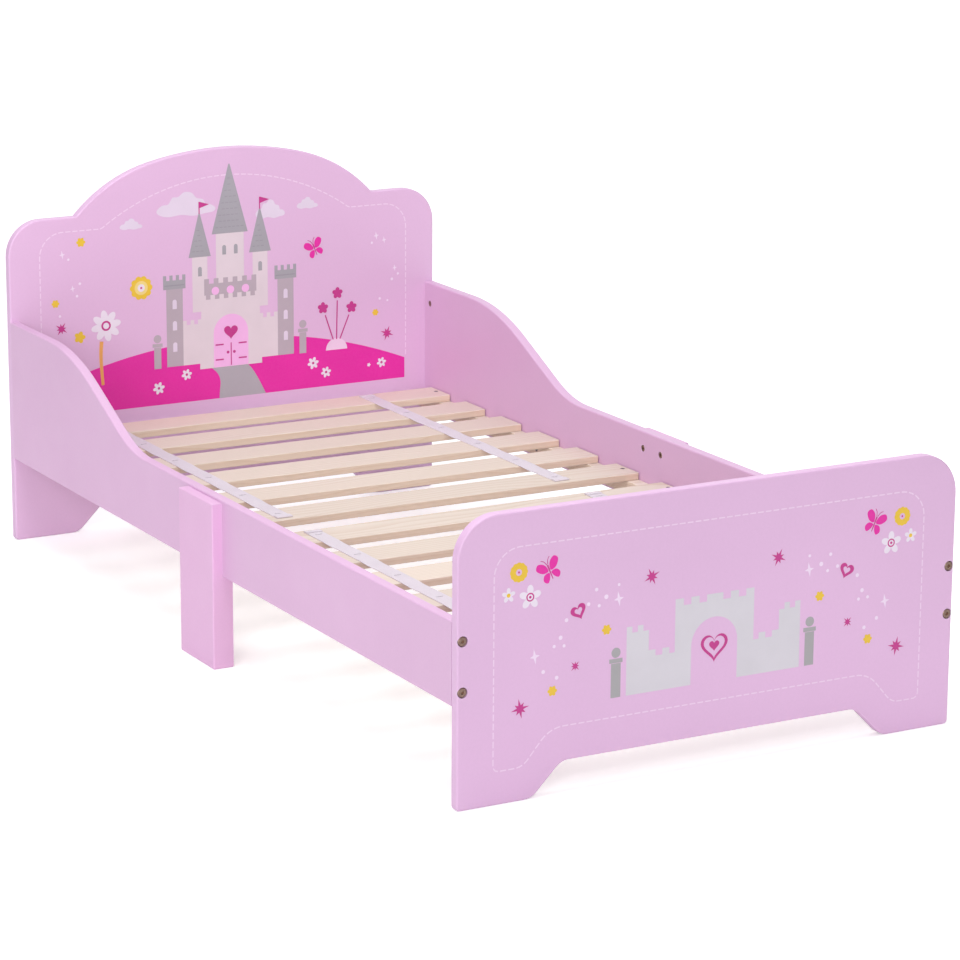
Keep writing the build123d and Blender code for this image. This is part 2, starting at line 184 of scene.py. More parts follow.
class Effects:
    """Shader node groups that several finishes share. Each is built once, when first asked for."""

    def __init__(self) -> None:
        """Start with nothing built."""
        self.built: dict[str, bpy.types.NodeTree] = {}

    def start(self, name: str, takes: dict[str, str], gives: dict[str, str]) -> tuple:
        """Begin a group with its sockets.

        Args:
            name: Name of the group.
            takes: Input names and their short types.
            gives: Output names and their short types.

        Returns:
            The graph, the group's input node and its output node.
        """
        tree = bpy.data.node_groups.new(name, "ShaderNodeTree")
        for direction, sockets in (("INPUT", takes), ("OUTPUT", gives)):
            for label, kind in sockets.items():
                tree.interface.new_socket(
                    name=label, in_out=direction, socket_type="NodeSocket" + kind
                )
        self.built[name] = tree
        return Graph(tree), tree.nodes.new("NodeGroupInput"), tree.nodes.new("NodeGroupOutput")

    def use(self, graph: Graph, name: str, inputs: dict | None = None) -> bpy.types.Node:
        """Place a group in a material.

        Args:
            graph: The material's graph.
            name: Name of the group, which is also the method that builds it.
            inputs: Values of this use.

        Returns:
            The group node.
        """
        if name not in self.built:
            getattr(self, name)()
        node = graph.tree.nodes.new("ShaderNodeGroup")
        node.node_tree = self.built[name]
        for key, value in (inputs or {}).items():
            graph.feed(node.inputs[key], value)
        return node

    def tone_drift(self) -> None:
        """Slow lightening and darkening of a colour over a surface."""
        takes = {"Colour": "Color", "Amount": "Float", "Scale": "Float"}
        graph, given, out = self.start("tone_drift", takes, {"Colour": "Color"})
        cloud = graph.noise(graph.place(), given.outputs["Scale"], 3.0, 0.55)
        low = graph.math("SUBTRACT", 1.0, given.outputs["Amount"])
        high = graph.math("ADD", 1.0, given.outputs["Amount"])
        gain = graph.remap(cloud, 0.3, 0.7, low, high)
        scaled = graph.node(
            "VectorMath", {0: given.outputs["Colour"], "Scale": gain}, operation="SCALE"
        )
        graph.feed(out.inputs["Colour"], scaled.outputs[0])

    def eased_edge(self) -> None:
        """Mask of the rounded edges, where paint lies thin and hands rub; on the paint it also
        places a painted edge highlight.
        """
        takes = {"Radius": "Float", "Gain": "Float"}
        graph, given, out = self.start("eased_edge", takes, {"Mask": "Float"})
        soft = graph.node("Bevel", {"Radius": given.outputs["Radius"]}, samples=6).outputs[0]
        true = graph.node("NewGeometry").outputs["Normal"]
        along = graph.node("VectorMath", {0: soft, 1: true}, operation="DOT_PRODUCT")
        turned = graph.math("SUBTRACT", 1.0, along.outputs["Value"])
        mask = graph.math("MULTIPLY", turned, given.outputs["Gain"], clamp=True)
        graph.feed(out.inputs["Mask"], mask)

    def spray_skin(self) -> None:
        """Height of the faint orange peel that sprayed paint dries with."""
        graph, _, out = self.start("spray_skin", {}, {"Height": "Float"})
        place = graph.place()
        fine = graph.noise(place, 520.0, 2.0)
        broad = graph.noise(place, 110.0, 1.0)
        graph.feed(out.inputs["Height"], graph.math("ADD", fine, broad))

    def wood_grain(self) -> None:
        """Growth rings, fibres and pin knots of softwood that runs along X."""
        takes = {"Early": "Color", "Late": "Color", "Knot": "Color", "Ring contrast": "Float"}
        gives = {"Colour": "Color", "Height": "Float", "Fibre": "Float"}
        graph, given, out = self.start("wood_grain", takes, gives)
        drift = graph.noise(graph.stretched((1.6, 9.0, 9.0)), 1.0, 2.0)
        wander = graph.math("MULTIPLY", drift, 0.05)
        along = graph.stretched((0.12, 1.0, 1.0))
        sway = graph.node("CombineXYZ", {1: wander, 2: wander}).outputs[0]
        bent = graph.node("VectorMath", {0: along, 1: sway}).outputs[0]
        rings = graph.node(
            "TexWave",
            {"Vector": bent, "Scale": 62.0, "Distortion": 1.6, "Detail": 2.0, "Detail Scale": 0.6},
            wave_type="RINGS",
            rings_direction="X",
            wave_profile="SAW",
        ).outputs["Fac"]
        late = graph.math("POWER", rings, 2.4)
        weight = graph.math("MULTIPLY", late, given.outputs["Ring contrast"], clamp=True)
        fibre = graph.noise(graph.stretched((14.0, 900.0, 900.0)), 1.0, 3.0, 0.6)
        base = graph.mix(weight, given.outputs["Early"], given.outputs["Late"])
        gain = graph.remap(fibre, 0.3, 0.7, 0.955, 1.03)
        streaked = graph.node("VectorMath", {0: base, "Scale": gain}, operation="SCALE").outputs[0]
        spots = graph.node(
            "TexVoronoi", {"Vector": graph.stretched((3.1, 7.3, 7.3)), "Scale": 1.0}
        ).outputs["Distance"]
        knot = graph.remap(spots, 0.028, 0.055, 1.0, 0.0)
        graph.feed(out.inputs["Colour"], graph.mix(knot, streaked, given.outputs["Knot"]))
        relief = graph.math("ADD", graph.math("MULTIPLY", late, 0.4), fibre)
        graph.feed(out.inputs["Height"], relief)
        graph.feed(out.inputs["Fibre"], fibre)

    def plain_weave(self) -> None:
        """Over and under pattern of webbing that runs along Y, ribbed across its width."""
        takes = {"Pitch": "Float"}
        graph, given, out = self.start("plain_weave", takes, {"Height": "Float", "Shade": "Float"})
        apart = graph.node("SeparateXYZ", {0: graph.place()})
        turn = graph.math("DIVIDE", 2 * math.pi, given.outputs["Pitch"])
        across = graph.math("SINE", graph.math("MULTIPLY", apart.outputs[0], turn))
        along = graph.math("SINE", graph.math("MULTIPLY", apart.outputs[1], turn))
        over = graph.math("MULTIPLY", across, along)
        height = graph.remap(over, -1.0, 1.0, 0.0, 1.0)
        graph.feed(out.inputs["Height"], height)
        # painted shade: the Shade output is low where the weave lies low
        fuzz = graph.noise(graph.place(), 700.0, 3.0)
        graph.feed(out.inputs["Shade"], graph.math("MULTIPLY", height, fuzz))

    def rubbed_metal(self) -> None:
        """Blotches and fine scratches of a handled fastener."""
        gives = {"Blotch": "Float", "Scratch": "Float"}
        graph, _, out = self.start("rubbed_metal", {}, gives)
        graph.feed(out.inputs["Blotch"], graph.noise(graph.place(), 650.0, 4.0, 0.65))
        lines = graph.noise(graph.stretched((2600.0, 500.0, 160.0)), 1.0, 2.0)
        graph.feed(out.inputs["Scratch"], graph.remap(lines, 0.45, 0.75, 0.0, 1.0))

    def print_grain(self) -> None:
        """Dots of a printed layer, dense and nearly joined, with small misses."""
        graph, _, out = self.start("print_grain", {}, {"Cover": "Float"})
        dots = graph.node("TexVoronoi", {"Vector": graph.place(), "Scale": 1500.0}).outputs[0]
        misses = graph.noise(graph.place(), 260.0, 3.0, 0.6)
        cover = graph.math("ADD", graph.math("MULTIPLY", dots, 0.6), misses)
        graph.feed(out.inputs["Cover"], graph.remap(cover, 0.35, 1.1, 0.0, 1.0))


# ---------------------------------------------------------------------------------------------
# Finishes
# ---------------------------------------------------------------------------------------------


def fresh_material(name: str) -> tuple[bpy.types.Material, Graph, bpy.types.Node]:
    """Make a material with one Principled shader.

    Args:
        name: Name of the material.

    Returns:
        The material, its graph and its shader.
    """
    material = bpy.data.materials.new(name)
    material.use_nodes = True
    material.node_tree.nodes.clear()
    graph = Graph(material.node_tree)
    shader = graph.node("BsdfPrincipled")
    graph.node("OutputMaterial", {"Surface": shader.outputs[0]})
    return material, graph, shader


def add_bump(
    graph: Graph, shader: bpy.types.Node, height: Any, strength: float, rise: float
) -> None:
    """Feed a height into a shader's normal.

    Args:
        graph: The material's graph.
        shader: Shader whose normal is bent.
        height: Height socket.
        strength: Strength of the bump.
        rise: Height in metres that a value of 1 stands for.
    """
    inputs = {"Height": height, "Strength": strength, "Distance": rise}
    bump = graph.node("Bump", inputs)
    graph.feed(shader.inputs["Normal"], bump.outputs[0])


@dataclass(frozen=True)
class SatinPaint:
    """Sprayed satin paint over fibreboard, a little paler on its rounded edges, partly thin paint
    and partly a painted highlight.
    """

    name: str
    body: Colour
    edge: Colour
    gloss_low: float = 0.34
    gloss_high: float = 0.47

    def build(self, effects: Effects) -> bpy.types.Material:
        """Make the material.

        Args:
            effects: Shared node groups.

        Returns:
            The finished material.
        """
        material, graph, shader = fresh_material(self.name)
        edge = effects.use(graph, "eased_edge", {"Radius": 3.0 * MM, "Gain": 2.6}).outputs[0]
        drift = {"Colour": self.body, "Amount": 0.02, "Scale": 4.0}
        body = effects.use(graph, "tone_drift", drift).outputs[0]
        speck = {"Colour": body, "Amount": 0.012, "Scale": 260.0}
        skin = effects.use(graph, "tone_drift", speck).outputs[0]
        # paler colour on the rounded edges: thin paint there, plus a painted edge highlight
        graph.feed(shader.inputs["Base Color"], graph.mix(edge, skin, self.edge))
        smear = graph.noise(graph.place(), 18.0, 4.0, 0.6)
        gloss = graph.remap(smear, 0.3, 0.7, self.gloss_low, self.gloss_high)
        graph.feed(shader.inputs["Roughness"], gloss)
        peel = effects.use(graph, "spray_skin").outputs[0]
        add_bump(graph, shader, peel, 0.16, 0.06 * MM)
        return material


@dataclass(frozen=True)
class SandedPine:
    """Bare sanded softwood, each board with a tint of its own."""

    name: str
    early: Colour
    late: Colour
    knot: Colour
    roll_start: float
    pitch: float
    # colour of the painted shade on upright faces
    side_shade: Colour = (0.70, 0.47, 0.31)

    def board_tint(self, graph: Graph) -> Any:
        """Value from 0 to 1 that is the same all over one slat and differs between slats."""
        y = graph.node("SeparateXYZ", {0: graph.place()}).outputs[1]
        from_middle = graph.math("SUBTRACT", graph.math("ABSOLUTE", y), self.roll_start)
        count = graph.math("FLOOR", graph.math("DIVIDE", from_middle, self.pitch))
        signed = graph.math("ADD", count, graph.math("MULTIPLY", graph.math("SIGN", y), 20.0))
        return graph.node("TexWhiteNoise", {"W": signed}, noise_dimensions="1D").outputs[0]

    def build(self, effects: Effects) -> bpy.types.Material:
        """Make the material.

        Args:
            effects: Shared node groups.

        Returns:
            The finished material.
        """
        material, graph, shader = fresh_material(self.name)
        inputs = {"Early": self.early, "Late": self.late, "Knot": self.knot, "Ring contrast": 0.62}
        grain = effects.use(graph, "wood_grain", inputs)
        tint = graph.remap(self.board_tint(graph), 0.0, 1.0, 0.94, 1.05)
        toned = graph.node(
            "VectorMath", {0: grain.outputs["Colour"], "Scale": tint}, operation="SCALE"
        ).outputs[0]
        # painted shade: faces that stand upright get a darker brown than the tops
        normal = graph.node("NewGeometry").outputs["Normal"]
        upward = graph.math("ABSOLUTE", graph.node("SeparateXYZ", {0: normal}).outputs[2])
        side_shade = graph.mix(graph.remap(upward, 0.25, 0.75, 0.4, 0.0), toned, self.side_shade)
        edge = effects.use(graph, "eased_edge", {"Radius": 2.0 * MM, "Gain": 1.2}).outputs[0]
        rubbed = graph.mix(graph.math("MULTIPLY", edge, 0.35), side_shade, self.late)
        graph.feed(shader.inputs["Base Color"], rubbed)
        rough = graph.remap(grain.outputs["Fibre"], 0.3, 0.7, 0.52, 0.72)
        graph.feed(shader.inputs["Roughness"], rough)
        add_bump(graph, shader, grain.outputs["Height"], 0.35, 0.12 * MM)
        return material


@dataclass(frozen=True)
class PolyesterWebbing:
    """White woven webbing with a soft sheen."""

    name: str
    bright: Colour
    shade: Colour
    pitch: float = 1.3 * MM

    def build(self, effects: Effects) -> bpy.types.Material:
        """Make the material.

        Args:
            effects: Shared node groups.

        Returns:
            The finished material.
        """
        material, graph, shader = fresh_material(self.name)
        weave = effects.use(graph, "plain_weave", {"Pitch": self.pitch})
        # painted shade: the weave's low threads take the darker shade colour
        colour = graph.mix(weave.outputs["Shade"], self.shade, self.bright)
        drift = {"Colour": colour, "Amount": 0.02, "Scale": 30.0}
        graph.feed(shader.inputs["Base Color"], effects.use(graph, "tone_drift", drift).outputs[0])
        rough = graph.remap(weave.outputs["Shade"], 0.0, 0.7, 0.62, 0.85)
        graph.feed(shader.inputs["Roughness"], rough)
        shader.inputs["Sheen Weight"].default_value = 0.25
        shader.inputs["Sheen Roughness"].default_value = 0.4
        add_bump(graph, shader, weave.outputs["Height"], 0.7, 0.25 * MM)
        return material


@dataclass(frozen=True)
class HandledMetal:
    """Plated or bronzed steel whose edges have rubbed bright."""

    name: str
    body: Colour
    bright: Colour
    rough: float
    edge_radius: float = 0.6 * MM

    def build(self, effects: Effects) -> bpy.types.Material:
        """Make the material.

        Args:
            effects: Shared node groups.

        Returns:
            The finished material.
        """
        material, graph, shader = fresh_material(self.name)
        marks = effects.use(graph, "rubbed_metal")
        edge = effects.use(graph, "eased_edge", {"Radius": self.edge_radius, "Gain": 3.0})
        worn = graph.math("MULTIPLY", marks.outputs["Blotch"], edge.outputs[0])
        share = graph.math("MULTIPLY", worn, 1.6, clamp=True)
        drift = {"Colour": self.body, "Amount": 0.22, "Scale": 420.0}
        body = effects.use(graph, "tone_drift", drift).outputs[0]
        graph.feed(shader.inputs["Base Color"], graph.mix(share, body, self.bright))
        shader.inputs["Metallic"].default_value = 1.0
        dull = graph.remap(
            marks.outputs["Scratch"], 0.0, 1.0, self.rough, min(1.0, self.rough + 0.22)
        )
        graph.feed(shader.inputs["Roughness"], dull)
        add_bump(graph, shader, marks.outputs["Blotch"], 0.25, 0.05 * MM)
        return material


@dataclass(frozen=True)
class PrintedInk:
    """A thin printed layer, slightly uneven, over the paint's own skin."""

    name: str
    body: Colour
    thin: Colour
    missing: float = 0.05

    def build(self, effects: Effects) -> bpy.types.Material:
        """Make the material.

        Args:
            effects: Shared node groups.

        Returns:
            The finished material.
        """
        material, graph, shader = fresh_material(self.name)
        cover = effects.use(graph, "print_grain").outputs[0]
        share = graph.math("MULTIPLY", cover, self.missing)
        printed = graph.mix(share, self.body, self.thin)
        drift = {"Colour": printed, "Amount": 0.025, "Scale": 22.0}
        graph.feed(shader.inputs["Base Color"], effects.use(graph, "tone_drift", drift).outputs[0])
        graph.feed(shader.inputs["Roughness"], graph.remap(cover, 0.0, 1.0, 0.36, 0.5))
        peel = effects.use(graph, "spray_skin").outputs[0]
        add_bump(graph, shader, peel, 0.14, 0.06 * MM)
        return material


@dataclass(frozen=True)
class StudioFloor:
    """Plain white floor with a barely uneven tone."""

    name: str = "studio_floor"
    body: Colour = (0.95, 0.95, 0.95)
    lift: float = 0.35

    def build(self, effects: Effects) -> bpy.types.Material:
        """Make the material.

        Args:
            effects: Shared node groups.

        Returns:
            The finished material.
        """
        material, graph, shader = fresh_material(self.name)
        drift = {"Colour": self.body, "Amount": 0.004, "Scale": 1.5}
        graph.feed(shader.inputs["Base Color"], effects.use(graph, "tone_drift", drift).outputs[0])
        dullness = graph.remap(graph.noise(graph.place(), 3.0), 0.0, 1.0, 0.7, 0.85)
        graph.feed(shader.inputs["Roughness"], dullness)
        seen = graph.node("LightPath").outputs["Is Camera Ray"]
        shader.inputs["Emission Color"].default_value = (1.0, 1.0, 1.0, 1.0)
        graph.feed(shader.inputs["Emission Strength"], graph.math("MULTIPLY", seen, self.lift))
        return material


PAPER: Colour = (0.79, 0.55, 0.76)


class Ink(Enum):
    """Printing inks of the two pictures."""

    MAGENTA = (0.75, 0.004, 0.345)
    CERISE = (0.52, 0.022, 0.235)
    ROSE = (0.86, 0.455, 0.79)
    BLUSH = (0.84, 0.60, 0.80)
    WHITE = (0.80, 0.72, 0.83)
    CLOUD = (0.73, 0.63, 0.77)
    GLINT = (0.84, 0.69, 0.86)
    STITCH = (0.82, 0.62, 0.81)
    SLATE_DARK = (0.30, 0.29, 0.33)
    SLATE = (0.355, 0.345, 0.385)
    STONE_MID = (0.46, 0.385, 0.445)
    STONE_LIGHT = (0.72, 0.62, 0.68)
    STONE_PALE = (0.64, 0.62, 0.67)
    PILLAR = (0.37, 0.365, 0.375)
    PATH = (0.40, 0.375, 0.42)
    YELLOW = (0.79, 0.52, 0.02)
    BUTTER = (0.84, 0.66, 0.22)
    ORANGE = (0.82, 0.38, 0.09)

    def finish(self) -> PrintedInk:
        """Finish of this ink."""
        return PrintedInk("ink_" + self.name.lower(), self.value, PAPER)


# ---------------------------------------------------------------------------------------------
# Bench: small habits of modelling
# ---------------------------------------------------------------------------------------------


class Bench:
    """Selection, modifiers and placing of pieces that are made by hand."""

    @staticmethod
    def clear() -> None:
        """Leave edit mode and deselect everything."""
        if bpy.context.object is not None and bpy.context.object.mode != "OBJECT":
            bpy.ops.object.mode_set(mode="OBJECT")
        bpy.ops.object.select_all(action="DESELECT")

    @staticmethod
    def take(piece: bpy.types.Object) -> None:
        """Make a piece the only selected and the active one."""
        Bench.clear()
        piece.select_set(True)
        bpy.context.view_layer.objects.active = piece

    @staticmethod
    def to_mesh(piece: bpy.types.Object) -> None:
        """Turn a curve into a mesh in its own place."""
        Bench.take(piece)
        bpy.ops.object.convert(target="MESH")

    @staticmethod
    def settle(piece: bpy.types.Object) -> None:
        """Put a piece's place into its mesh, so that its object stands at the origin."""
        Bench.take(piece)
        bpy.ops.object.transform_apply(location=True, rotation=True, scale=True)

    @staticmethod
    def tidy_mesh(piece: bpy.types.Object, gap: float) -> None:
        """Merge doubled points and turn every face outwards.

        Args:
            piece: Piece that is tidied.
            gap: Distance below which points are one.
        """
        Bench.take(piece)
        bpy.ops.object.mode_set(mode="EDIT")
        bpy.ops.mesh.select_all(action="SELECT")
        bpy.ops.mesh.remove_doubles(threshold=gap)
        bpy.ops.mesh.normals_make_consistent(inside=False)
        bpy.ops.object.mode_set(mode="OBJECT")

    @staticmethod
    def apply(piece: bpy.types.Object, kind: str, **settings: Any) -> None:
        """Add a modifier and apply it at once.

        Args:
            piece: Piece that is changed.
            kind: Blender's type of modifier.
            **settings: The modifier's properties.
        """
        Bench.take(piece)
        modifier = piece.modifiers.new(kind.lower(), kind)
        for name, value in settings.items():
            setattr(modifier, name, value)
        bpy.ops.object.modifier_apply(modifier=modifier.name)

    @staticmethod
    def copy(piece: bpy.types.Object, name: str, shift: Vector) -> bpy.types.Object:
        """Copy a finished piece, mesh and all.

        Args:
            piece: The piece to copy.
            name: Name of the copy.
            shift: Move from the piece's place to the copy's.

        Returns:
            The copy, with its place in its mesh.
        """
        twin = piece.copy()
        twin.data = piece.data.copy()
        twin.name = twin.data.name = name
        twin.data.transform(Matrix.Translation(shift))
        bpy.context.scene.collection.objects.link(twin)
        return twin

    @staticmethod
    def dress(piece: bpy.types.Object, material: bpy.types.Material) -> None:
        """Give every face of a piece one material."""
        piece.data.materials.clear()
        piece.data.materials.append(material)

    @staticmethod
    def hand_over(piece: bpy.types.Object, slot: str, *stands_for: str) -> None:
        """Let a piece ride on the bed and report it.

        Args:
            piece: Finished piece.
            slot: Material slot of the record; not used.
            *stands_for: Frame nodes that it is shown in place of.
        """
        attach(piece, BODY)
        if stands_for:
            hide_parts(*stands_for)
        LOG.info("%s: %d faces", piece.name, len(piece.data.polygons))


# ---------------------------------------------------------------------------------------------
# Drawing: flat outlines in millimetres, x across the board and z up from the floor
# ---------------------------------------------------------------------------------------------


def arc(centre: Point, radius: float, start: float, end: float, steps: int = 16) -> Loop:
    """Points along an arc.

    Args:
        centre: Centre of the circle.
        radius: Radius of the circle.
        start: First angle in degrees.
        end: Last angle in degrees.
        steps: Number of spans.

    Returns:
        The points, both ends included.
    """
    angles = [math.radians(start + (end - start) * i / steps) for i in range(steps + 1)]
    return [(centre[0] + radius * math.cos(a), centre[1] + radius * math.sin(a)) for a in angles]


def disc(centre: Point, radius: float, steps: int = 24) -> Loop:
    """Closed circle."""
    return arc(centre, radius, 0.0, 360.0, steps)[:-1]


def box_loop(left: float, right: float, low: float, high: float) -> Loop:
    """Closed rectangle."""
    return [(left, low), (right, low), (right, high), (left, high)]


def mirrored(loop: Loop) -> Loop:
    """The loop on the other side of the middle line, still turning the same way."""
    return [(-x, z) for x, z in reversed(loop)]


def turned(loop: Loop, centre: Point, degrees: float, scale: float = 1.0) -> Loop:
    """Turn, scale and place a loop that is drawn about the origin.

    Args:
        loop: Points about the origin.
        centre: Where the origin goes.
        degrees: Turn, anticlockwise.
        scale: Size factor.

    Returns:
        The placed points.
    """
    c, s = math.cos(math.radians(degrees)) * scale, math.sin(math.radians(degrees)) * scale
    return [(centre[0] + x * c - z * s, centre[1] + x * s + z * c) for x, z in loop]


def smooth(points: Loop, spans: int = 6, closed: bool = True) -> Loop:
    """Round a chain of points into a flowing line through all of them.

    Args:
        points: Points that the line passes.
        spans: Spans between two neighbours.
        closed: Whether the chain is a loop.

    Returns:
        The finer chain.
    """
    count = len(points)
    found = []
    for i in range(count if closed else count - 1):
        if closed:
            p = [points[(i + k - 1) % count] for k in range(4)]
        else:
            p = [points[min(max(i + k - 1, 0), count - 1)] for k in range(4)]
        for j in range(spans):
            t = j / spans
            found.append(
                tuple(
                    0.5
                    * (
                        2 * p[1][a]
                        + (p[2][a] - p[0][a]) * t
                        + (2 * p[0][a] - 5 * p[1][a] + 4 * p[2][a] - p[3][a]) * t**2
                        + (3 * p[1][a] - p[0][a] - 3 * p[2][a] + p[3][a]) * t**3
                    )
                    for a in range(2)
                )
            )
    if not closed:
        found.append(points[-1])
    return found


def ribbon(path: Loop, width: float, taper: float = 1.0) -> Loop:
    """Outline of a stroke along a path.

    Args:
        path: Middle line of the stroke.
        width: Width at the first point.
        taper: Share of the width that is left at the last point.

    Returns:
        The closed outline.
    """
    left, right = [], []
    last = len(path) - 1
    for i, (x, z) in enumerate(path):
        before, after = path[max(i - 1, 0)], path[min(i + 1, last)]
        dx, dz = after[0] - before[0], after[1] - before[1]
        length = math.hypot(dx, dz) or 1.0
        half = width / 2 * (1 + (taper - 1) * i / last)
        left.append((x - dz / length * half, z + dx / length * half))
        right.append((x + dz / length * half, z - dx / length * half))
    return left + right[::-1]


def dashes(path: Loop, dash: float, gap: float, width: float) -> list[Loop]:
    """Short strokes along a path, as sewn or printed stitching.

    Args:
        path: Line that the stitches follow.
        dash: Length of a stitch.
        gap: Space between stitches.
        width: Width of a stitch.

    Returns:
        One closed outline for each stitch.
    """
    lengths = [math.dist(a, b) for a, b in zip(path, path[1:])]
    whole = max(1, round(sum(lengths) / (dash + gap)))
    step = sum(lengths) / whole

    def at(distance: float) -> Point:
        """Point at a distance along the path."""
        for (a, b), length in zip(zip(path, path[1:]), lengths):
            if distance <= length:
                t = distance / length
                return (a[0] + (b[0] - a[0]) * t, a[1] + (b[1] - a[1]) * t)
            distance -= length
        return path[-1]

    found = []
    for i in range(whole):
        start = i * step + gap / 2
        first, middle, last = (at(start + (step - gap) * part) for part in (0, 0.5, 1))
        off_line = (Vector(middle) - (Vector(first) + Vector(last)) / 2).length
        run = [first, middle, last] if off_line > BENT else [first, last]
        found.append(ribbon(run, width))
    return found


def rounded_path(corners: list[tuple[float, float, float]], closed: bool = False) -> Loop:
    """Straight runs joined by arcs.

    Args:
        corners: Points, each with the radius of the arc at it, or 0 for a sharp corner.
        closed: Whether the last point joins the first.

    Returns:
        Points along the path.
    """
    count = len(corners)
    found = []
    for i, (x, z, radius) in enumerate(corners):
        if radius == 0 or (not closed and i in (0, count - 1)):
            found.append((x, z))
            continue
        here = Vector((x, z))
        to_last = (Vector(corners[i - 1][:2]) - here).normalized()
        to_next = (Vector(corners[(i + 1) % count][:2]) - here).normalized()
        half = to_last.angle(to_next) / 2
        centre = here + (to_last + to_next).normalized() * radius / math.sin(half)
        start = here + to_last * radius / math.tan(half) - centre
        end = here + to_next * radius / math.tan(half) - centre
        sweep = math.pi - 2 * half
        sign = 1.0 if start.x * end.y - start.y * end.x > 0 else -1.0
        first = math.degrees(math.atan2(start.y, start.x))
        found += arc((centre.x, centre.y), radius, first, first + sign * math.degrees(sweep), 10)
    if closed:
        found.append(found[0])
    return found


def petals(centre: Point, radius: float, count: int, depth: float, turn: float = 0.0) -> Loop:
    """Flower outline whose petals meet in notches.

    Args:
        centre: Middle of the flower.
        radius: Radius to the petals' tips.
        count: Number of petals.
        depth: Share of the radius that a notch is cut in.
        turn: Turn in degrees.

    Returns:
        The closed outline.
    """
    steps = 12 * count
    loop = []
    for i in range(steps):
        angle = 2 * math.pi * i / steps
        reach = radius * (1 - depth + depth * abs(math.cos(count * angle / 2)))
        loop.append((reach * math.cos(angle), reach * math.sin(angle)))
    return turned(loop, centre, turn)


def star(centre: Point, radius: float, inner: float, points: int, turn: float = 0.0) -> Loop:
    """Star outline.

    Args:
        centre: Middle of the star.
        radius: Radius to the points.
        inner: Radius between the points.
        points: Number of points.
        turn: Turn in degrees.

    Returns:
        The closed outline.
    """
    loop = []
    for i in range(2 * points):
        angle = math.pi * i / points
        reach = inner if i % 2 else radius * (1.0 if i % 4 else 0.72)
        loop.append((reach * math.cos(angle), reach * math.sin(angle)))
    return turned(loop, centre, turn)


def heart(centre: Point, width: float, turn: float = 0.0) -> Loop:
    """Plain heart.

    Args:
        centre: Middle of the heart.
        width: Overall width.
        turn: Turn in degrees.

    Returns:
        The closed outline.
    """
    loop = []
    for i in range(40):
        t = 2 * math.pi * i / 40
        x = 16 * math.sin(t) ** 3
        z = 13 * math.cos(t) - 5 * math.cos(2 * t) - 2 * math.cos(3 * t) - math.cos(4 * t)
        loop.append((-x, z))
    return turned(loop, centre, turn, width / 32)


def cloud(left: float, right: float, low: float, high: float) -> Loop:
    """Cloud with a nearly flat foot and billows that rise to its middle.

    Args:
        left: Left end.
        right: Right end.
        low: Height of its foot.
        high: Height of its top.

    Returns:
        The closed outline.
    """
    w, h = right - left, high - low
    foot = [(0.05, 0.1), (0.2, 0.0), (0.42, 0.05), (0.62, -0.03), (0.82, 0.04), (0.96, 0.09)]
    right_side = [(1.0, 0.24), (0.92, 0.4), (0.84, 0.42), (0.79, 0.64), (0.68, 0.72)]
    crown = [(0.6, 0.95), (0.47, 1.0), (0.37, 0.82), (0.27, 0.8)]
    left_side = [(0.2, 0.54), (0.09, 0.5), (0.0, 0.28)]
    shares = foot + right_side + crown + left_side
    return smooth([(left + w * x, low + h * z) for x, z in shares], 4)


def arc_through(a: Point, b: Point, c: Point) -> Loop:
    """Arc from one point through a second to a third.

    Args:
        a: First point.
        b: Point in between.
        c: Last point.

    Returns:
        The points, both ends included.
    """
    (ax, az), (bx, bz), (cx, cz) = a, b, c
    twice = 2 * (ax * (bz - cz) + bx * (cz - az) + cx * (az - bz))
    sa, sb, sc = ax * ax + az * az, bx * bx + bz * bz, cx * cx + cz * cz
    x = (sa * (bz - cz) + sb * (cz - az) + sc * (az - bz)) / twice
    z = (sa * (cx - bx) + sb * (ax - cx) + sc * (bx - ax)) / twice
    first, last = (math.degrees(math.atan2(q[1] - z, q[0] - x)) for q in (a, c))
    return arc((x, z), math.hypot(ax - x, az - z), first, last, ARC_SPANS)


def courses(foot: tuple, head: tuple, rows: int, dash: float, width: float) -> list[Loop]:
    """Rows of short level strokes between two slanting sides, as on shingles.

    Args:
        foot: Left side, right side and height at the foot.
        head: The same at the head.
        rows: Number of rows.
        dash: Length of a stroke.
        width: Width of a stroke.

    Returns:
        One closed outline for each stroke.
    """
    found = []
    for i in range(rows):
        share = (i + 0.5) / rows
        left, right, z = (a + (b - a) * share for a, b in zip(foot, head))
        x = left + dash * (0.4 + 0.7 * (i % 2))
        while x + dash < right - 0.3 * dash:
            found.append(box_loop(x, x + dash, z - width / 2, z + width / 2))
            x += 1.45 * dash
    return found


def battlement(
    left: float, right: float, low: float, high: float, teeth: int, notch: float
) -> Loop:
    """Wall whose top is cut into teeth.

    Args:
        left: Left side.
        right: Right side.
        low: Foot of the wall.
        high: Top of the teeth.
        teeth: Number of teeth.
        notch: Depth of the cuts between them.

    Returns:
        The closed outline.
    """
    parts = 2 * teeth - 1
    loop = [(left, low), (right, low)]
    for i in range(parts):
        from_x = right - (right - left) * i / parts
        to_x = right - (right - left) * (i + 1) / parts
        top = high - notch * (i % 2)
        loop += [(from_x, top), (to_x, top)]
    return loop


def arched(left: float, right: float, low: float, high: float) -> Loop:
    """Doorway with a round head.

    Args:
        left: Left side.
        right: Right side.
        low: Sill.
        high: Top of the arch.

    Returns:
        The closed outline.
    """
    radius = (right - left) / 2
    head = arc(((left + right) / 2, high - radius), radius, 0.0, 180.0, 18)
    return [(left, low), (right, low)] + head


def pennant(foot: Point) -> Loop:
    """Plain three-cornered flag on a short mast, streaming to the right."""
    x, z = foot
    shape = [(-0.9, 0), (0.9, 0), (0.9, 9), (17, 14), (0.9, 19), (-0.9, 19)]
    return [(x + dx, z + dz) for dx, dz in shape]


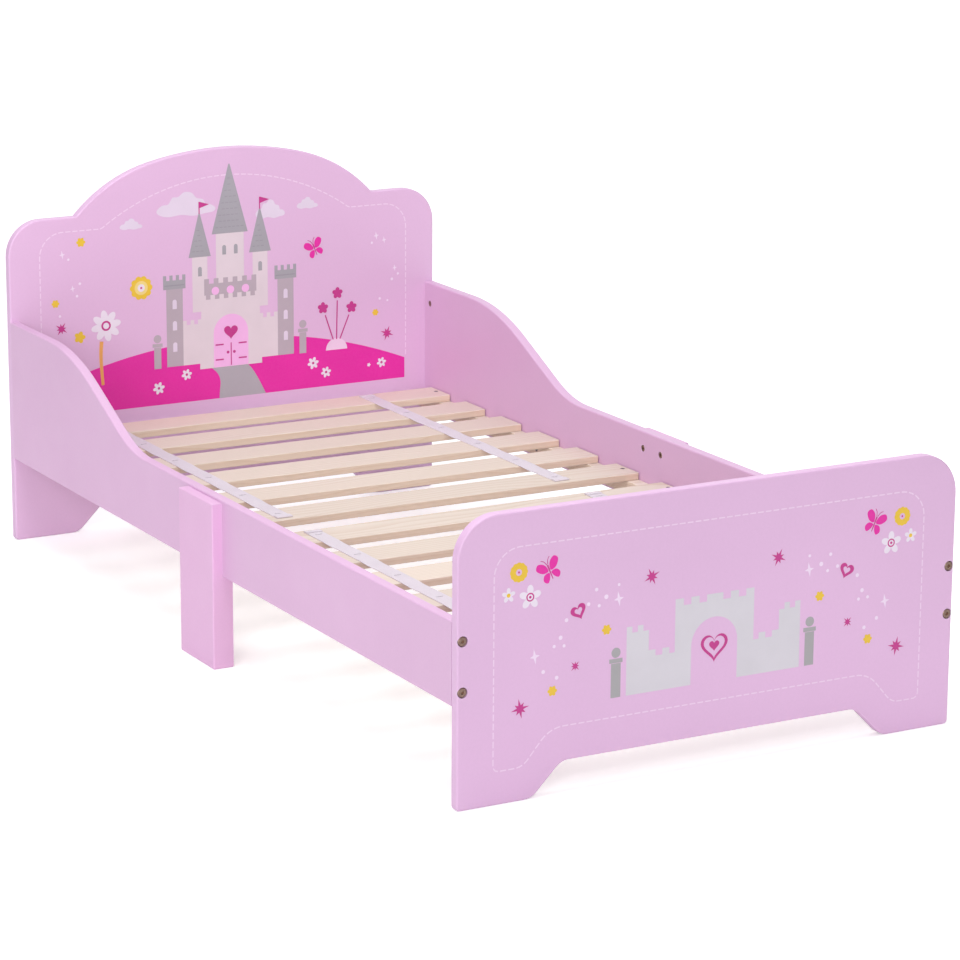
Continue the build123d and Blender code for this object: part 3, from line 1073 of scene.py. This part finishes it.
def butterfly(centre: Point, turn: float) -> tuple[list[Loop], list[Loop]]:
    """Plain butterfly seen from above, its two sides alike.

    Args:
        centre: Middle of its body.
        turn: Turn in degrees.

    Returns:
        Its four wings, and its body with the feelers.
    """
    upper = smooth([(1.6, 1.0), (4.0, 11.0), (12.0, 15.5), (16.5, 9.5), (10.0, 1.5)], 4)
    lower = smooth([(1.6, -1.5), (9.0, -1.5), (12.5, -8.0), (8.0, -13.0), (3.0, -8.0)], 4)
    feeler = ribbon(smooth([(0.8, 9.5), (3.0, 15.0), (6.5, 18.0)], 4, closed=False), 1.1, 0.8)
    body = ribbon([(0.0, 9.0), (0.0, -11.0)], 2.4, 0.5)
    wings = [upper, lower, mirrored(upper), mirrored(lower)]
    lines = [body, feeler, mirrored(feeler)]
    return [turned(w, centre, turn) for w in wings], [turned(line, centre, turn) for line in lines]


def sparkle(centre: Point, radius: float) -> Loop:
    """Small four-pointed glint."""
    return star(centre, radius, radius * 0.26, 4, 8.0)


def capped_post(x: float, half: float, foot: float, top: float) -> list[Loop]:
    """Gate post with a flat cap and a ball on it.

    Args:
        x: Middle of the post.
        half: Half the width of its shaft.
        foot: Height of the shaft's foot.
        top: Height of the shaft's top.

    Returns:
        The outlines of shaft, cap and ball.
    """
    cap = half + 2.5
    return [
        box_loop(x - half, x + half, foot, top),
        box_loop(x - cap, x + cap, top + 0.5, top + 6),
        disc((x, top + 13.5), 6.5),
    ]


# ---------------------------------------------------------------------------------------------
# Printed pictures
# ---------------------------------------------------------------------------------------------


@dataclass
class PrintedFace:
    """Pictures printed on the face of an end board that looks to the foot of the bed."""

    board: str
    layers: list[tuple[str, Ink, int, list[Loop]]] = field(default_factory=list)
    film: float = 0.04 * MM
    level_step: float = 0.05 * MM
    stitch: float = 8.5
    stitch_gap: float = 3.0
    thread: float = 1.7

    def add(self, name: str, ink: Ink, level: int, loops: list[Loop]) -> None:
        """Note a layer of one ink.

        Args:
            name: Name of the layer.
            ink: Its ink.
            level: How many layers lie under it.
            loops: Outlines that it fills.
        """
        self.layers.append((name, ink, level, loops))

    def cut(self, name: str, loops: list[Loop]) -> bpy.types.Object:
        """Fill outlines to a thin flat solid that lies on the ground plane.

        Args:
            name: Name of the piece.
            loops: Outlines in millimetres.

        Returns:
            The mesh object.
        """
        curve = bpy.data.curves.new(name, "CURVE")
        curve.dimensions = "2D"
        curve.fill_mode = "BOTH"
        curve.extrude = self.film / 2
        for loop in loops:
            spline = curve.splines.new("POLY")
            spline.points.add(len(loop) - 1)
            for point, (x, z) in zip(spline.points, loop):
                point.co = (x * MM, z * MM, 0.0, 1.0)
            spline.use_cyclic_u = True
        piece = bpy.data.objects.new(name, curve)
        bpy.context.scene.collection.objects.link(piece)
        Bench.to_mesh(piece)
        return piece

    def make(self, effects: Effects) -> None:
        """Build every layer on the board's face.

        Args:
            effects: Shared node groups.
        """
        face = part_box(self.board)[0].y
        materials: dict[Ink, bpy.types.Material] = {}
        for name, ink, level, loops in self.layers:
            piece = self.cut(name, loops)
            piece.rotation_euler = (math.pi / 2, 0.0, 0.0)
            piece.location = (0.0, face - level * self.level_step - self.film / 2, 0.0)
            Bench.settle(piece)
            Bench.tidy_mesh(piece, self.film / 20)
            if ink not in materials:
                found = bpy.data.materials.get(ink.finish().name)
                materials[ink] = found or ink.finish().build(effects)
            Bench.dress(piece, materials[ink])
            Bench.hand_over(piece, "panel_paint")


@dataclass
class HeadboardPicture(PrintedFace):
    """Castle on a flowered hill, under clouds, inside a stitched border."""

    board: str = "headboard"
    hill_side: float = 313.0
    hill_foot: float = 188.0
    hill_left: float = 229.0
    hill_right: float = 221.0
    hill_top: Point = (-20.0, 284.5)
    castle_middle: float = 4.0

    def border(self) -> list[Loop]:
        """Stitches that follow the board's shoulders and crown."""
        side, shoulder, notch, crown = 315.0, 475.0, 213.0, 543.0
        right = [(side, self.hill_right + 3, 0.0), (side, shoulder, 38.0), (notch, shoulder, 0.0)]
        left = [(-x, z, r) for x, z, r in reversed(right)]
        over = arc_through((notch, shoulder), (0.0, crown), (-notch, shoulder))
        seam = rounded_path(right) + over + rounded_path(left)
        return dashes(seam, self.stitch, self.stitch_gap, self.thread)

    def hill(self) -> Loop:
        """Low round hill with an upright end at each side."""
        side = self.hill_side
        top = arc_through((side, self.hill_right), self.hill_top, (-side, self.hill_left))
        return [(-side, self.hill_foot), (side, self.hill_foot)] + top

    def path_to_gate(self) -> Loop:
        """Winding path from the gate to the picture's foot."""
        left = smooth([(-32, 240), (-20, 229), (-15, 216), (-16, 202), (-17, 188)], 4, False)
        right = smooth([(64, 188), (58, 200), (50, 215), (42, 228), (32, 240)], 4, False)
        return left + right

    def outworks(self) -> None:
        """Curtain walls, flat-topped side towers and gate posts with round caps."""
        m = self.castle_middle
        walls = [
            battlement(m + side * 66 - 16, m + side * 66 + 16, 247, 318, 3, 7) for side in (-1, 1)
        ]
        self.add("print_head_walls_low", Ink.STONE_LIGHT, 1, walls)
        shafts = [box_loop(m + side * 96 - 14, m + side * 96 + 14, 247, 372) for side in (-1, 1)]
        self.add("print_head_shafts", Ink.STONE_MID, 2, shafts)
        posts = capped_post(m - 126, 6, 246, 280) + capped_post(m + 126, 6, 246, 280)
        self.add("print_head_posts", Ink.STONE_MID, 3, posts)

    def towers(self) -> None:
        """Keep and two turrets with slate roofs, and the side towers' battlements."""
        m = self.castle_middle
        turrets = (m - 52, m + 52)
        pale = [box_loop(m - 24, m + 24, 368, 452)]
        pale += [box_loop(x - 13, x + 13, 330, 418) for x in turrets]
        self.add("print_head_towers_pale", Ink.STONE_LIGHT, 2, pale)
        roofs = [[(m - 31, 451), (m + 31, 451), (m + 1, 560), (m - 1, 560)]]
        roofs += [[(x - 19, 417), (x + 19, 417), (x + 1, 486), (x - 1, 486)] for x in turrets]
        roofs += [battlement(x - 19, x + 19, 370, 392, 4, 8) for x in (m - 96, m + 96)]
        self.add("print_head_roofs", Ink.SLATE, 4, roofs)
        shingles = courses((m - 28, m + 28, 456), (m - 2, m + 2, 552), 10, 5.0, 1.3)
        for x in turrets:
            shingles += courses((x - 16, x + 16, 422), (x - 2, x + 2, 480), 7, 5.0, 1.3)
        shingles += [box_loop(x - 17, x + 17, 375, 376.8) for x in (m - 96, m + 96)]
        self.add("print_head_shingles", Ink.SLATE_DARK, 5, shingles)
        places = [(x, z) for x in (m - 96, m + 96) for z in (346, 312, 278)]
        windows = [arched(x - 3.6, x + 3.6, z - 7.5, z + 7.5) for x, z in places]
        self.add("print_head_windows", Ink.CLOUD, 6, windows)
        places = [(m - 10, 425), (m + 10, 425), (m - 52, 394), (m + 52, 394)]
        slits = [arched(x - 3.2, x + 3.2, z - 7.5, z + 7.5) for x, z in places]
        self.add("print_head_slits", Ink.SLATE, 6, slits)

    def gatehouse(self) -> None:
        """Gatehouse before the towers, with its parapet and a double door."""
        m = self.castle_middle
        parapet = battlement(m - 45, m + 45, 340, 381, 6, 8)
        self.add("print_head_parapet", Ink.STONE_MID, 5, [parapet])
        rounds = [disc((m + x, 361), 6.5) for x in (-26, 0, 26)]
        self.add("print_head_rounds", Ink.ROSE, 6, rounds)
        wall = [(m - 54, 238), (m + 54, 238), (m + 50, 346)]
        wall += battlement(m - 50, m + 50, 346, 355, 7, 7)[2:] + [(m - 50, 346)]
        self.add("print_head_gatehouse", Ink.STONE_LIGHT, 7, [wall])
        self.add("print_head_door", Ink.ROSE, 8, [arched(m - 30, m + 30, 238.3, 322)])
        planks = [box_loop(m - 0.9, m + 0.9, 240, 276)]
        for side in (-1, 1):
            planks.append(disc((m + side * 5.5, 261), 2.4, 16))
            hinge = m + side * 20
            planks += [box_loop(hinge - 7, hinge + 7, z, z + 2.4) for z in (249, 273)]
        self.add("print_head_planks", Ink.CERISE, 9, planks + [heart((m, 294), 24.0)])

    def daisy(self) -> tuple[list[Loop], list[Loop]]:
        """Tall flower at the left: its petals, and the ring at its heart."""
        place = (-208.0, 323.0)
        return [petals(place, 25.0, 8, 0.4, 10.0)], [disc(place, 8.0), disc(place, 5.0)]

    def bush(self) -> tuple[list[Loop], list[Loop]]:
        """Mound with three blossoms: the mound, and the blossoms on their stems."""
        marks = []
        for x, z, foot in ((166, 316, 184), (192, 338, 190), (217, 313, 196)):
            marks.append(petals((x, z), 9.5, 5, 0.35, 18.0))
            marks.append(ribbon([(x + (foot - x) * 0.22, z - 12), (foot, 263)], 2.0))
        return [arc((190.0, 246.0), 19.0, 0.0, 180.0, 24)], marks

    def flowers(self) -> None:
        """Flowers, heart bush, stars and glints around the castle."""
        small = [(-121, 215, 10), (-73, 232, 9), (148, 228, 10), (171, 211, 9), (271, 217, 8.5)]
        daisy_petals, daisy_marks = self.daisy()
        bush_heart, bush_marks = self.bush()
        white = [petals((x, z), r, 6, 0.5, 12.0) for x, z, r in small]
        white += [petals((248, 215), 3.2, 5, 0.4), disc((-148, 377), 6.0)] + daisy_petals
        self.add("print_head_white", Ink.WHITE, 4, white)
        glints = [(-278, 440, 7), (-262, 386, 6), (262, 425, 7), (276, 417, 6), (295, 370, 6)]
        dots = [(-268, 432, 2), (-250, 393, 2.2), (254, 414, 2), (290, 352, 2.4), (301, 360, 2)]
        dots += [(-255, 374, 2.2), (268, 322, 2.2), (282, 318, 1.8), (-284, 345, 2)]
        soft = [sparkle((x, z), r) for x, z, r in glints]
        soft += [disc((x, z), r, 12) for x, z, r in dots]
        self.add("print_head_glints", Ink.GLINT, 1, soft)
        yellow = [petals((-148, 377), 19.0, 10, 0.14), petals((-247, 457), 7.5, 6, 0.3)]
        yellow += [petals((-291, 365), 6.5, 6, 0.3), petals((260, 300), 5.8, 6, 0.3)]
        yellow += [petals((-252, 309), 9.5, 5, 0.35)]
        self.add("print_head_yellow", Ink.YELLOW, 2, yellow)
        self.add("print_head_butter", Ink.BUTTER, 3, [disc((-148, 377), 11.0)])
        stem = smooth([(-216, 299), (-217.5, 280), (-217, 258), (-215, 230)], 5, False)
        self.add("print_head_stem", Ink.ORANGE, 3, [ribbon(stem, 6.4, 0.75)])
        self.add("print_head_bush", Ink.BLUSH, 3, bush_heart)
        wings, lines = butterfly((152, 413), 22.0)
        self.add("print_head_wings", Ink.MAGENTA, 1, wings)
        cerise = [star((-282, 325), 11.5, 4.2, 8, 10.0), star((281, 264), 12.5, 4.6, 8, 25.0)]
        cerise += [pennant((self.castle_middle + x, 485)) for x in (-52, 52)] + lines
        cerise += [disc((x, z), 2.2, 12) for x, z, _ in small] + [disc((-148, 377), 1.8, 12)]
        self.add("print_head_cerise", Ink.CERISE, 5, cerise + daisy_marks + bush_marks)

    def draw(self) -> "HeadboardPicture":
        """Note every layer, from the back forward.

        Returns:
            This picture.
        """
        clouds = [cloud(-182, -144, 470, 487), cloud(-120, -20, 484, 521)]
        clouds += [cloud(49, 100, 469, 498), cloud(121, 158, 479, 497)]
        self.add("print_head_clouds", Ink.CLOUD, 0, clouds)
        self.add("print_head_border", Ink.STITCH, 0, self.border())
        self.add("print_head_hill", Ink.MAGENTA, 0, [self.hill()])
        self.add("print_head_path", Ink.PATH, 1, [self.path_to_gate()])
        self.outworks()
        self.towers()
        self.gatehouse()
        self.flowers()
        return self


@dataclass
class FootboardPicture(PrintedFace):
    """Pale castle with a plain heart in its gate, between scattered flowers."""

    board: str = "footboard"

    def border(self) -> list[Loop]:
        """Stitches that follow the board's outline, scoop included."""
        right = [(205, 87, 0.0), (236, 87, 42.0), (274, 43, 24.0)]
        right += [(315, 43, 7.0), (315, 322, 36.0)]
        left = [(-x, z, r) for x, z, r in reversed(right)]
        seam = rounded_path(right + left, closed=True)
        return dashes(seam, self.stitch, self.stitch_gap, self.thread)

    def castle(self) -> None:
        """Gatehouse between two towers, with a post at each end."""
        half = [(34, 112), (128, 112), (128, 200), (120, 200), (120, 192), (112, 192), (112, 200)]
        half += [(104, 200), (104, 192), (96, 192), (96, 166), (86, 166), (86, 158), (76, 158)]
        half += [(76, 166), (66, 166), (66, 158), (58, 158), (58, 226), (46, 226), (46, 217)]
        half += [(35, 217), (35, 226), (23, 226), (23, 217), (12, 217), (12, 226)]
        doorway = arc((0.0, 162.0), 34.0, 180.0, 0.0, 20)
        self.add("print_foot_castle", Ink.STONE_PALE, 0, [half + mirrored(half) + doorway])
        posts = capped_post(-143.0, 7, 112, 156) + capped_post(143.0, 7, 112, 156)
        self.add("print_foot_posts", Ink.PILLAR, 1, posts)
        ring = [heart((0.0, 158.0), 40.0), heart((0.0, 158.6), 31.0)]
        self.add("print_foot_heart", Ink.CERISE, 1, ring + [heart((0.0, 159.0), 15.0)])

    def small_heart(self, side: int) -> list[Loop]:
        """Small tilted heart with a plain opening."""
        centre, tilt = (side * 197.0, 230.0), side * -22.0
        return [heart(centre, 22.0, tilt), heart(centre, 11.0, tilt)]

    def garden(self) -> None:
        """Stars, hearts, butterflies and flowers, mirrored about the middle."""
        magenta, cerise, yellow, white, soft = [], [], [], [], []
        for side in (-1, 1):
            for x, z, r, turn in ((93, 260, 12, 20), (201, 161, 8, 0), (278, 118, 13, 35)):
                cerise.append(star((side * x, z), r, r * 0.36, 8, side * turn))
            cerise += self.small_heart(side)
            wings, lines = butterfly((side * 238, 286), side * -24.0)
            magenta += wings
            cerise += lines
            cerise += [disc((side * 265, 257), r, 18) for r in (5.6, 3.8, 1.8)]
            cerise.append(disc((side * 281, 290), 1.4, 10))
            yellow += [petals((side * 281, 290), 12.5, 12, 0.08), disc((side * 281, 290), 4.2, 18)]
            yellow += [petals((side * x, z), 6.8, 6, 0.3) for x, z in ((157, 201), (233, 134))]
            yellow.append(disc((side * 295, 263), 2.6, 12))
            white.append(petals((side * 265, 257), 15.5, 5, 0.6, 18.0))
            white.append(petals((side * 295, 263), 9.5, 5, 0.6, 18.0))
            glints = [(140, 238, 10), (258, 181, 10)]
            dots = [(158, 243, 3), (172, 254, 2.4), (168, 233, 2.2), (183, 237, 2.4)]
            dots += [(140, 256, 2), (214, 221, 2.6), (222, 200, 2.8), (231, 190, 2.2)]
            dots += [(217, 189, 2.2), (246, 160, 2.6), (227, 150, 2.6)]
            soft += [sparkle((side * x, z), r) for x, z, r in glints]
            soft += [disc((side * x, z), r, 12) for x, z, r in dots]
        self.add("print_foot_white", Ink.WHITE, 0, white)
        self.add("print_foot_glints", Ink.GLINT, 0, soft)
        self.add("print_foot_yellow", Ink.YELLOW, 1, yellow)
        self.add("print_foot_magenta", Ink.MAGENTA, 0, magenta)
        self.add("print_foot_cerise", Ink.CERISE, 1, cerise)

    def draw(self) -> "FootboardPicture":
        """Note every layer, from the back forward.

        Returns:
            This picture.
        """
        self.add("print_foot_border", Ink.STITCH, 0, self.border())
        self.castle()
        self.garden()
        return self


# ---------------------------------------------------------------------------------------------
# Sub-assemblies
# ---------------------------------------------------------------------------------------------


@dataclass
class PaintedBoards:
    """End boards, side rails and middle legs in one paint, given as three copies tuned to how light
    falls on each: the rails' copy darker as painted shade.
    """

    panels: tuple[str, ...] = ("headboard", "footboard")
    rails: tuple[str, ...] = ("side_rail_left", "side_rail_right")
    legs: tuple[str, ...] = ("mid_leg_left", "mid_leg_right")

    def dress(self, nodes: dict, effects: Effects) -> None:
        """Paint the boards.

        Args:
            nodes: Frame nodes by name.
            effects: Shared node groups.
        """
        # paler edge colour: thin paint on the rounded edges, plus a painted edge highlight
        edge = (0.77, 0.57, 0.76)
        # lit and shaded copies of one paint: the rails' copy is painted shade, the legs' copy is
        # tuned to the light on the legs
        panel = SatinPaint("paint_panel", (0.722, 0.466, 0.700), edge).build(effects)
        rail = SatinPaint("paint_rail_painted_shade", (0.690, 0.434, 0.655), edge).build(effects)
        leg = SatinPaint("paint_leg_light_tuned", (0.740, 0.440, 0.684), edge).build(effects)
        for names, paint in ((self.panels, panel), (self.rails, rail), (self.legs, leg)):
            for name in names:
                Bench.dress(nodes[name], paint)
                LOG.info("%s painted", name)


@dataclass
class SlatBase:
    """Slats, ledges and woven straps; the staples are finished with the fasteners."""

    per_roll: int = 6
    thickness: float = 1.1 * MM
    sag: float = 0.7 * MM
    fold: float = 11.0 * MM
    lie_gap: float = 0.02 * MM
    fold_gap: float = 0.06 * MM
    step: float = 3.0 * MM
    across: int = 6
    turn_spans: int = 6
    rim: float = 0.25 * MM
    weld: float = 0.01 * MM
    trim: float = 0.001 * MM
    corner: float = 50.0
    crease: float = 45.0
    straps: tuple[str, ...] = (
        "strap_head_left", "strap_head_right", "strap_foot_left", "strap_foot_right",
    )

    def slat_names(self) -> list[str]:
        """Names of all slats, from the headboard to the footboard."""
        return [f"slat_{i:02d}" for i in range(1, 2 * self.per_roll + 1)]

    def height(self, y: float, spans: list[tuple[float, float]]) -> float:
        """Drop of a strap's middle line at a place along the bed.

        Args:
            y: Place along the bed.
            spans: Low and high edge of each slat.

        Returns:
            Height relative to the strap's lie on a slat.
        """
        for (_, end), (start, _) in zip(spans, spans[1:]):
            if end < y < start:
                share = (y - end) / (start - end)
                return -self.sag * math.sin(math.pi * share) ** 2
        return 0.0

    def strap_path(self, node: str) -> list[tuple[float, float]]:
        """Side view of a strap, with a fold at each end.

        Args:
            node: Frame node that the strap stands for.

        Returns:
            Points along the bed and up.
        """
        low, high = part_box(node)
        slats = sorted(
            (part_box(name)[0].y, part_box(name)[1].y)
            for name in self.slat_names()
            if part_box(name)[1].y > low.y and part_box(name)[0].y < high.y
        )
        middle = low.z + self.thickness / 2 + self.lie_gap
        lift = self.thickness + self.fold_gap
        turn = lift / 2
        start, end = low.y + turn, high.y - turn
        fold_points = int(self.fold / self.step)
        path = [(start + self.fold - i * self.step, middle + lift) for i in range(fold_points)]
        for i in range(self.turn_spans + 1):
            angle = math.pi / 2 + math.pi * i / self.turn_spans
            path.append((start + turn * math.cos(angle), middle + turn + turn * math.sin(angle)))
        count = int((end - start) / self.step)
        for i in range(1, count):
            y = start + (end - start) * i / count
            path.append((y, middle + self.height(y, slats)))
        for i in range(self.turn_spans + 1):
            angle = -math.pi / 2 + math.pi * i / self.turn_spans
            path.append((end + turn * math.cos(angle), middle + turn + turn * math.sin(angle)))
        path += [(end - i * self.step, middle + lift) for i in range(1, fold_points + 1)]
        return path

    def weave_strap(self, node: str, material: bpy.types.Material) -> bpy.types.Object:
        """Make one strap: its side view drawn across the width, then thickened.

        Args:
            node: Frame node that the strap stands for.
            material: The webbing's finish.

        Returns:
            The dressed strap.
        """
        low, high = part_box(node)
        curve = bpy.data.curves.new("webbing_" + node, "CURVE")
        curve.dimensions = "3D"
        points = self.strap_path(node)
        spline = curve.splines.new("POLY")
        spline.points.add(len(points) - 1)
        for point, (y, z) in zip(spline.points, points):
            point.co = (low.x, y, z, 1.0)
        piece = bpy.data.objects.new("webbing_" + node, curve)
        bpy.context.scene.collection.objects.link(piece)
        Bench.to_mesh(piece)
        bpy.ops.object.mode_set(mode="EDIT")
        width = (high.x - low.x) / self.across
        bpy.ops.mesh.select_all(action="SELECT")
        for _ in range(self.across):
            bpy.ops.mesh.extrude_region_move(TRANSFORM_OT_translate={"value": (width, 0.0, 0.0)})
        bpy.ops.object.mode_set(mode="OBJECT")
        Bench.tidy_mesh(piece, self.weld)
        Bench.apply(piece, "SOLIDIFY", thickness=self.thickness, offset=0.0, use_even_offset=True)
        Bench.apply(piece, "BEVEL", width=self.rim, segments=2, limit_method="ANGLE",
                    angle_limit=math.radians(self.corner))
        Bench.tidy_mesh(piece, self.trim)
        Bench.take(piece)
        bpy.ops.object.shade_smooth_by_angle(angle=math.radians(self.crease))
        Bench.dress(piece, material)
        return piece

    def lay_straps(self, material: bpy.types.Material) -> None:
        """Weave the first strap and lay a copy of it in each other strap's place.

        Args:
            material: The webbing's finish.
        """
        first = self.weave_strap(self.straps[0], material)
        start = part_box(self.straps[0])[0]
        laid = [first]
        for node in self.straps[1:]:
            laid.append(Bench.copy(first, "webbing_" + node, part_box(node)[0] - start))
        for piece, node in zip(laid, self.straps):
            Bench.hand_over(piece, "webbing", node)

    def dress(self, nodes: dict, effects: Effects) -> None:
        """Finish the wood and make the straps.

        Args:
            nodes: Frame nodes by name.
            effects: Shared node groups.
        """
        names = self.slat_names()
        first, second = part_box(names[self.per_roll - 1]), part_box(names[self.per_roll - 2])
        pine = SandedPine(
            "pine_sanded",
            early=(0.750, 0.650, 0.570),
            late=(0.625, 0.485, 0.375),
            knot=(0.40, 0.25, 0.15),
            roll_start=first[0].y,
            pitch=second[0].y - first[0].y,
        ).build(effects)
        for name in names + ["slat_ledge_left", "slat_ledge_right"]:
            Bench.dress(nodes[name], pine)
        webbing = PolyesterWebbing(
            "webbing_white", bright=(0.80, 0.745, 0.80), shade=(0.66, 0.59, 0.66)
        ).build(effects)
        self.lay_straps(webbing)


@dataclass
class Fasteners:
    """Bolts, nuts, screws, staples and dowels."""

    bronzed: tuple[str, ...] = (
        "headboard_bolts", "footboard_bolts", "mid_leg_bolts",
        "headboard_barrel_nuts", "footboard_barrel_nuts",
    )
    zinc: tuple[str, ...] = ("mid_leg_inserts", "strap_staples")
    dark: tuple[str, ...] = ("slat_screws", "ledge_screws")

    def dress(self, nodes: dict, effects: Effects) -> None:
        """Finish the metal and the dowels.

        Args:
            nodes: Frame nodes by name.
            effects: Shared node groups.
        """
        finishes = (
            (self.bronzed, "bronzed_steel", (0.30, 0.205, 0.165), (0.80, 0.64, 0.54), 0.36),
            (self.zinc, "zinc_plate", (0.74, 0.72, 0.75), (0.90, 0.89, 0.90), 0.45),
            (self.dark, "phosphated_steel", (0.16, 0.14, 0.13), (0.5, 0.48, 0.46), 0.42),
        )
        for names, label, body, bright, rough in finishes:
            metal = HandledMetal(label, body, bright, rough).build(effects)
            for name in names:
                Bench.dress(nodes[name], metal)
        beech = SandedPine(
            "beech_dowel", (0.74, 0.53, 0.34), (0.62, 0.41, 0.24), (0.4, 0.22, 0.1), 0.0, 1.0
        ).build(effects)
        Bench.dress(nodes["locating_dowels"], beech)
        LOG.info("fasteners finished")


# ---------------------------------------------------------------------------------------------
# Stage
# ---------------------------------------------------------------------------------------------


@dataclass(frozen=True)
class SoftBox:
    """Large square studio lamp."""

    name: str
    place: tuple[float, float, float]
    aim: tuple[float, float, float]
    size: float
    power: float

    def hang(self) -> None:
        """Add the lamp, turned to its aim."""
        lamp = bpy.data.lights.new(self.name, "AREA")
        lamp.shape = "SQUARE"
        lamp.size = self.size
        lamp.energy = self.power
        holder = bpy.data.objects.new(self.name, lamp)
        holder.location = self.place
        toward = Vector(self.aim) - Vector(self.place)
        holder.rotation_euler = toward.to_track_quat("-Z", "Y").to_euler()
        holder.visible_camera = False
        bpy.context.scene.collection.objects.link(holder)


@dataclass(frozen=True)
class FarPanel:
    """Very wide and distant lamp, as even over the bed as daylight."""

    name: str
    heading: float
    height: float
    spread: float
    strength: float

    def hang(self) -> None:
        """Add the lamp, turned to shine from its heading and height."""
        lamp = bpy.data.lights.new(self.name, "SUN")
        lamp.energy = self.strength
        lamp.angle = math.radians(self.spread)
        holder = bpy.data.objects.new(self.name, lamp)
        turn = Matrix.Rotation(math.radians(-self.heading), 4, "Z")
        tilt = Matrix.Rotation(math.radians(90.0 - self.height), 4, "X")
        holder.matrix_world = turn @ tilt
        bpy.context.scene.collection.objects.link(holder)


@dataclass(frozen=True)
class Viewpoint:
    """Camera in front of the foot's left corner, far off with a long lens."""

    place: tuple[float, float, float] = (-2.3168, -4.2653, 1.4446)
    heading: float = 29.168
    tilt: float = 14.266
    roll: float = 0.325
    lens: float = 133.0
    sensor_width: float = 36.0
    reach: float = 200.0

    def aim(self) -> None:
        """Add the camera and make it the scene's own."""
        camera = bpy.data.cameras.new("camera")
        camera.lens = self.lens
        camera.sensor_width = self.sensor_width
        camera.clip_end = self.reach
        holder = bpy.data.objects.new("camera", camera)
        turn = (
            Matrix.Rotation(math.radians(-self.heading), 4, "Z")
            @ Matrix.Rotation(math.radians(90.0 - self.tilt), 4, "X")
            @ Matrix.Rotation(math.radians(self.roll), 4, "Z")
        )
        holder.matrix_world = Matrix.Translation(self.place) @ turn
        bpy.context.scene.collection.objects.link(holder)
        bpy.context.scene.camera = holder


@dataclass
class Stage:
    """White floor, even white surroundings and soft lamps."""

    floor_size: float = 80.0
    horizon: float = 0.13
    zenith: float = 0.84
    lamps: tuple[SoftBox | FarPanel, ...] = (
        SoftBox("overhead", (0.0, 0.2, 4.2), (0.0, 0.0, 0.2), 3.6, 6.0),
        SoftBox("over_bed", (-0.6, -0.6, 2.2), (0.15, 0.6, 0.25), 1.2, 22.0),
        SoftBox("near_left", (-2.8, -2.8, 0.9), (0.0, 0.0, 0.1), 1.3, 8.0),
        FarPanel("front_left", 38.0, 18.0, 30.0, 1.05),
        FarPanel("back_right", 215.0, 18.0, 90.0, 0.95),
    )

    def build(self, effects: Effects) -> None:
        """Lay the floor and light the scene.

        Args:
            effects: Shared node groups.
        """
        Bench.clear()
        bpy.ops.mesh.primitive_plane_add(size=self.floor_size, location=(0.0, 0.0, 0.0))
        floor = bpy.context.object
        floor.name = "studio_floor"
        Bench.dress(floor, StudioFloor().build(effects))
        world = bpy.data.worlds.new("surround")
        world.use_nodes = True
        graph = Graph(world.node_tree)
        background = world.node_tree.nodes["Background"]
        background.inputs["Color"].default_value = (1.0, 1.0, 1.0, 1.0)
        up = graph.node("SeparateXYZ", {0: graph.node("TexCoord").outputs["Generated"]})
        glow = graph.remap(up.outputs[2], 0.0, 1.0, self.horizon, self.zenith)
        seen = graph.node("LightPath").outputs["Is Camera Ray"]
        strength = graph.math("MAXIMUM", glow, seen)
        graph.feed(background.inputs["Strength"], strength)
        bpy.context.scene.world = world
        for lamp in self.lamps:
            lamp.hang()
        bpy.context.scene.view_settings.view_transform = "Standard"


# ---------------------------------------------------------------------------------------------


def main() -> None:
    """Dress the frame, make the new pieces and set the stage."""
    logging.basicConfig(level=logging.INFO, format="%(message)s")
    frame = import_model()
    effects = Effects()
    Stage().build(effects)
    Viewpoint().aim()
    PaintedBoards().dress(frame["nodes"], effects)
    SlatBase().dress(frame["nodes"], effects)
    Fasteners().dress(frame["nodes"], effects)
    HeadboardPicture().draw().make(effects)
    FootboardPicture().draw().make(effects)


if __name__ == "__main__":
    main()
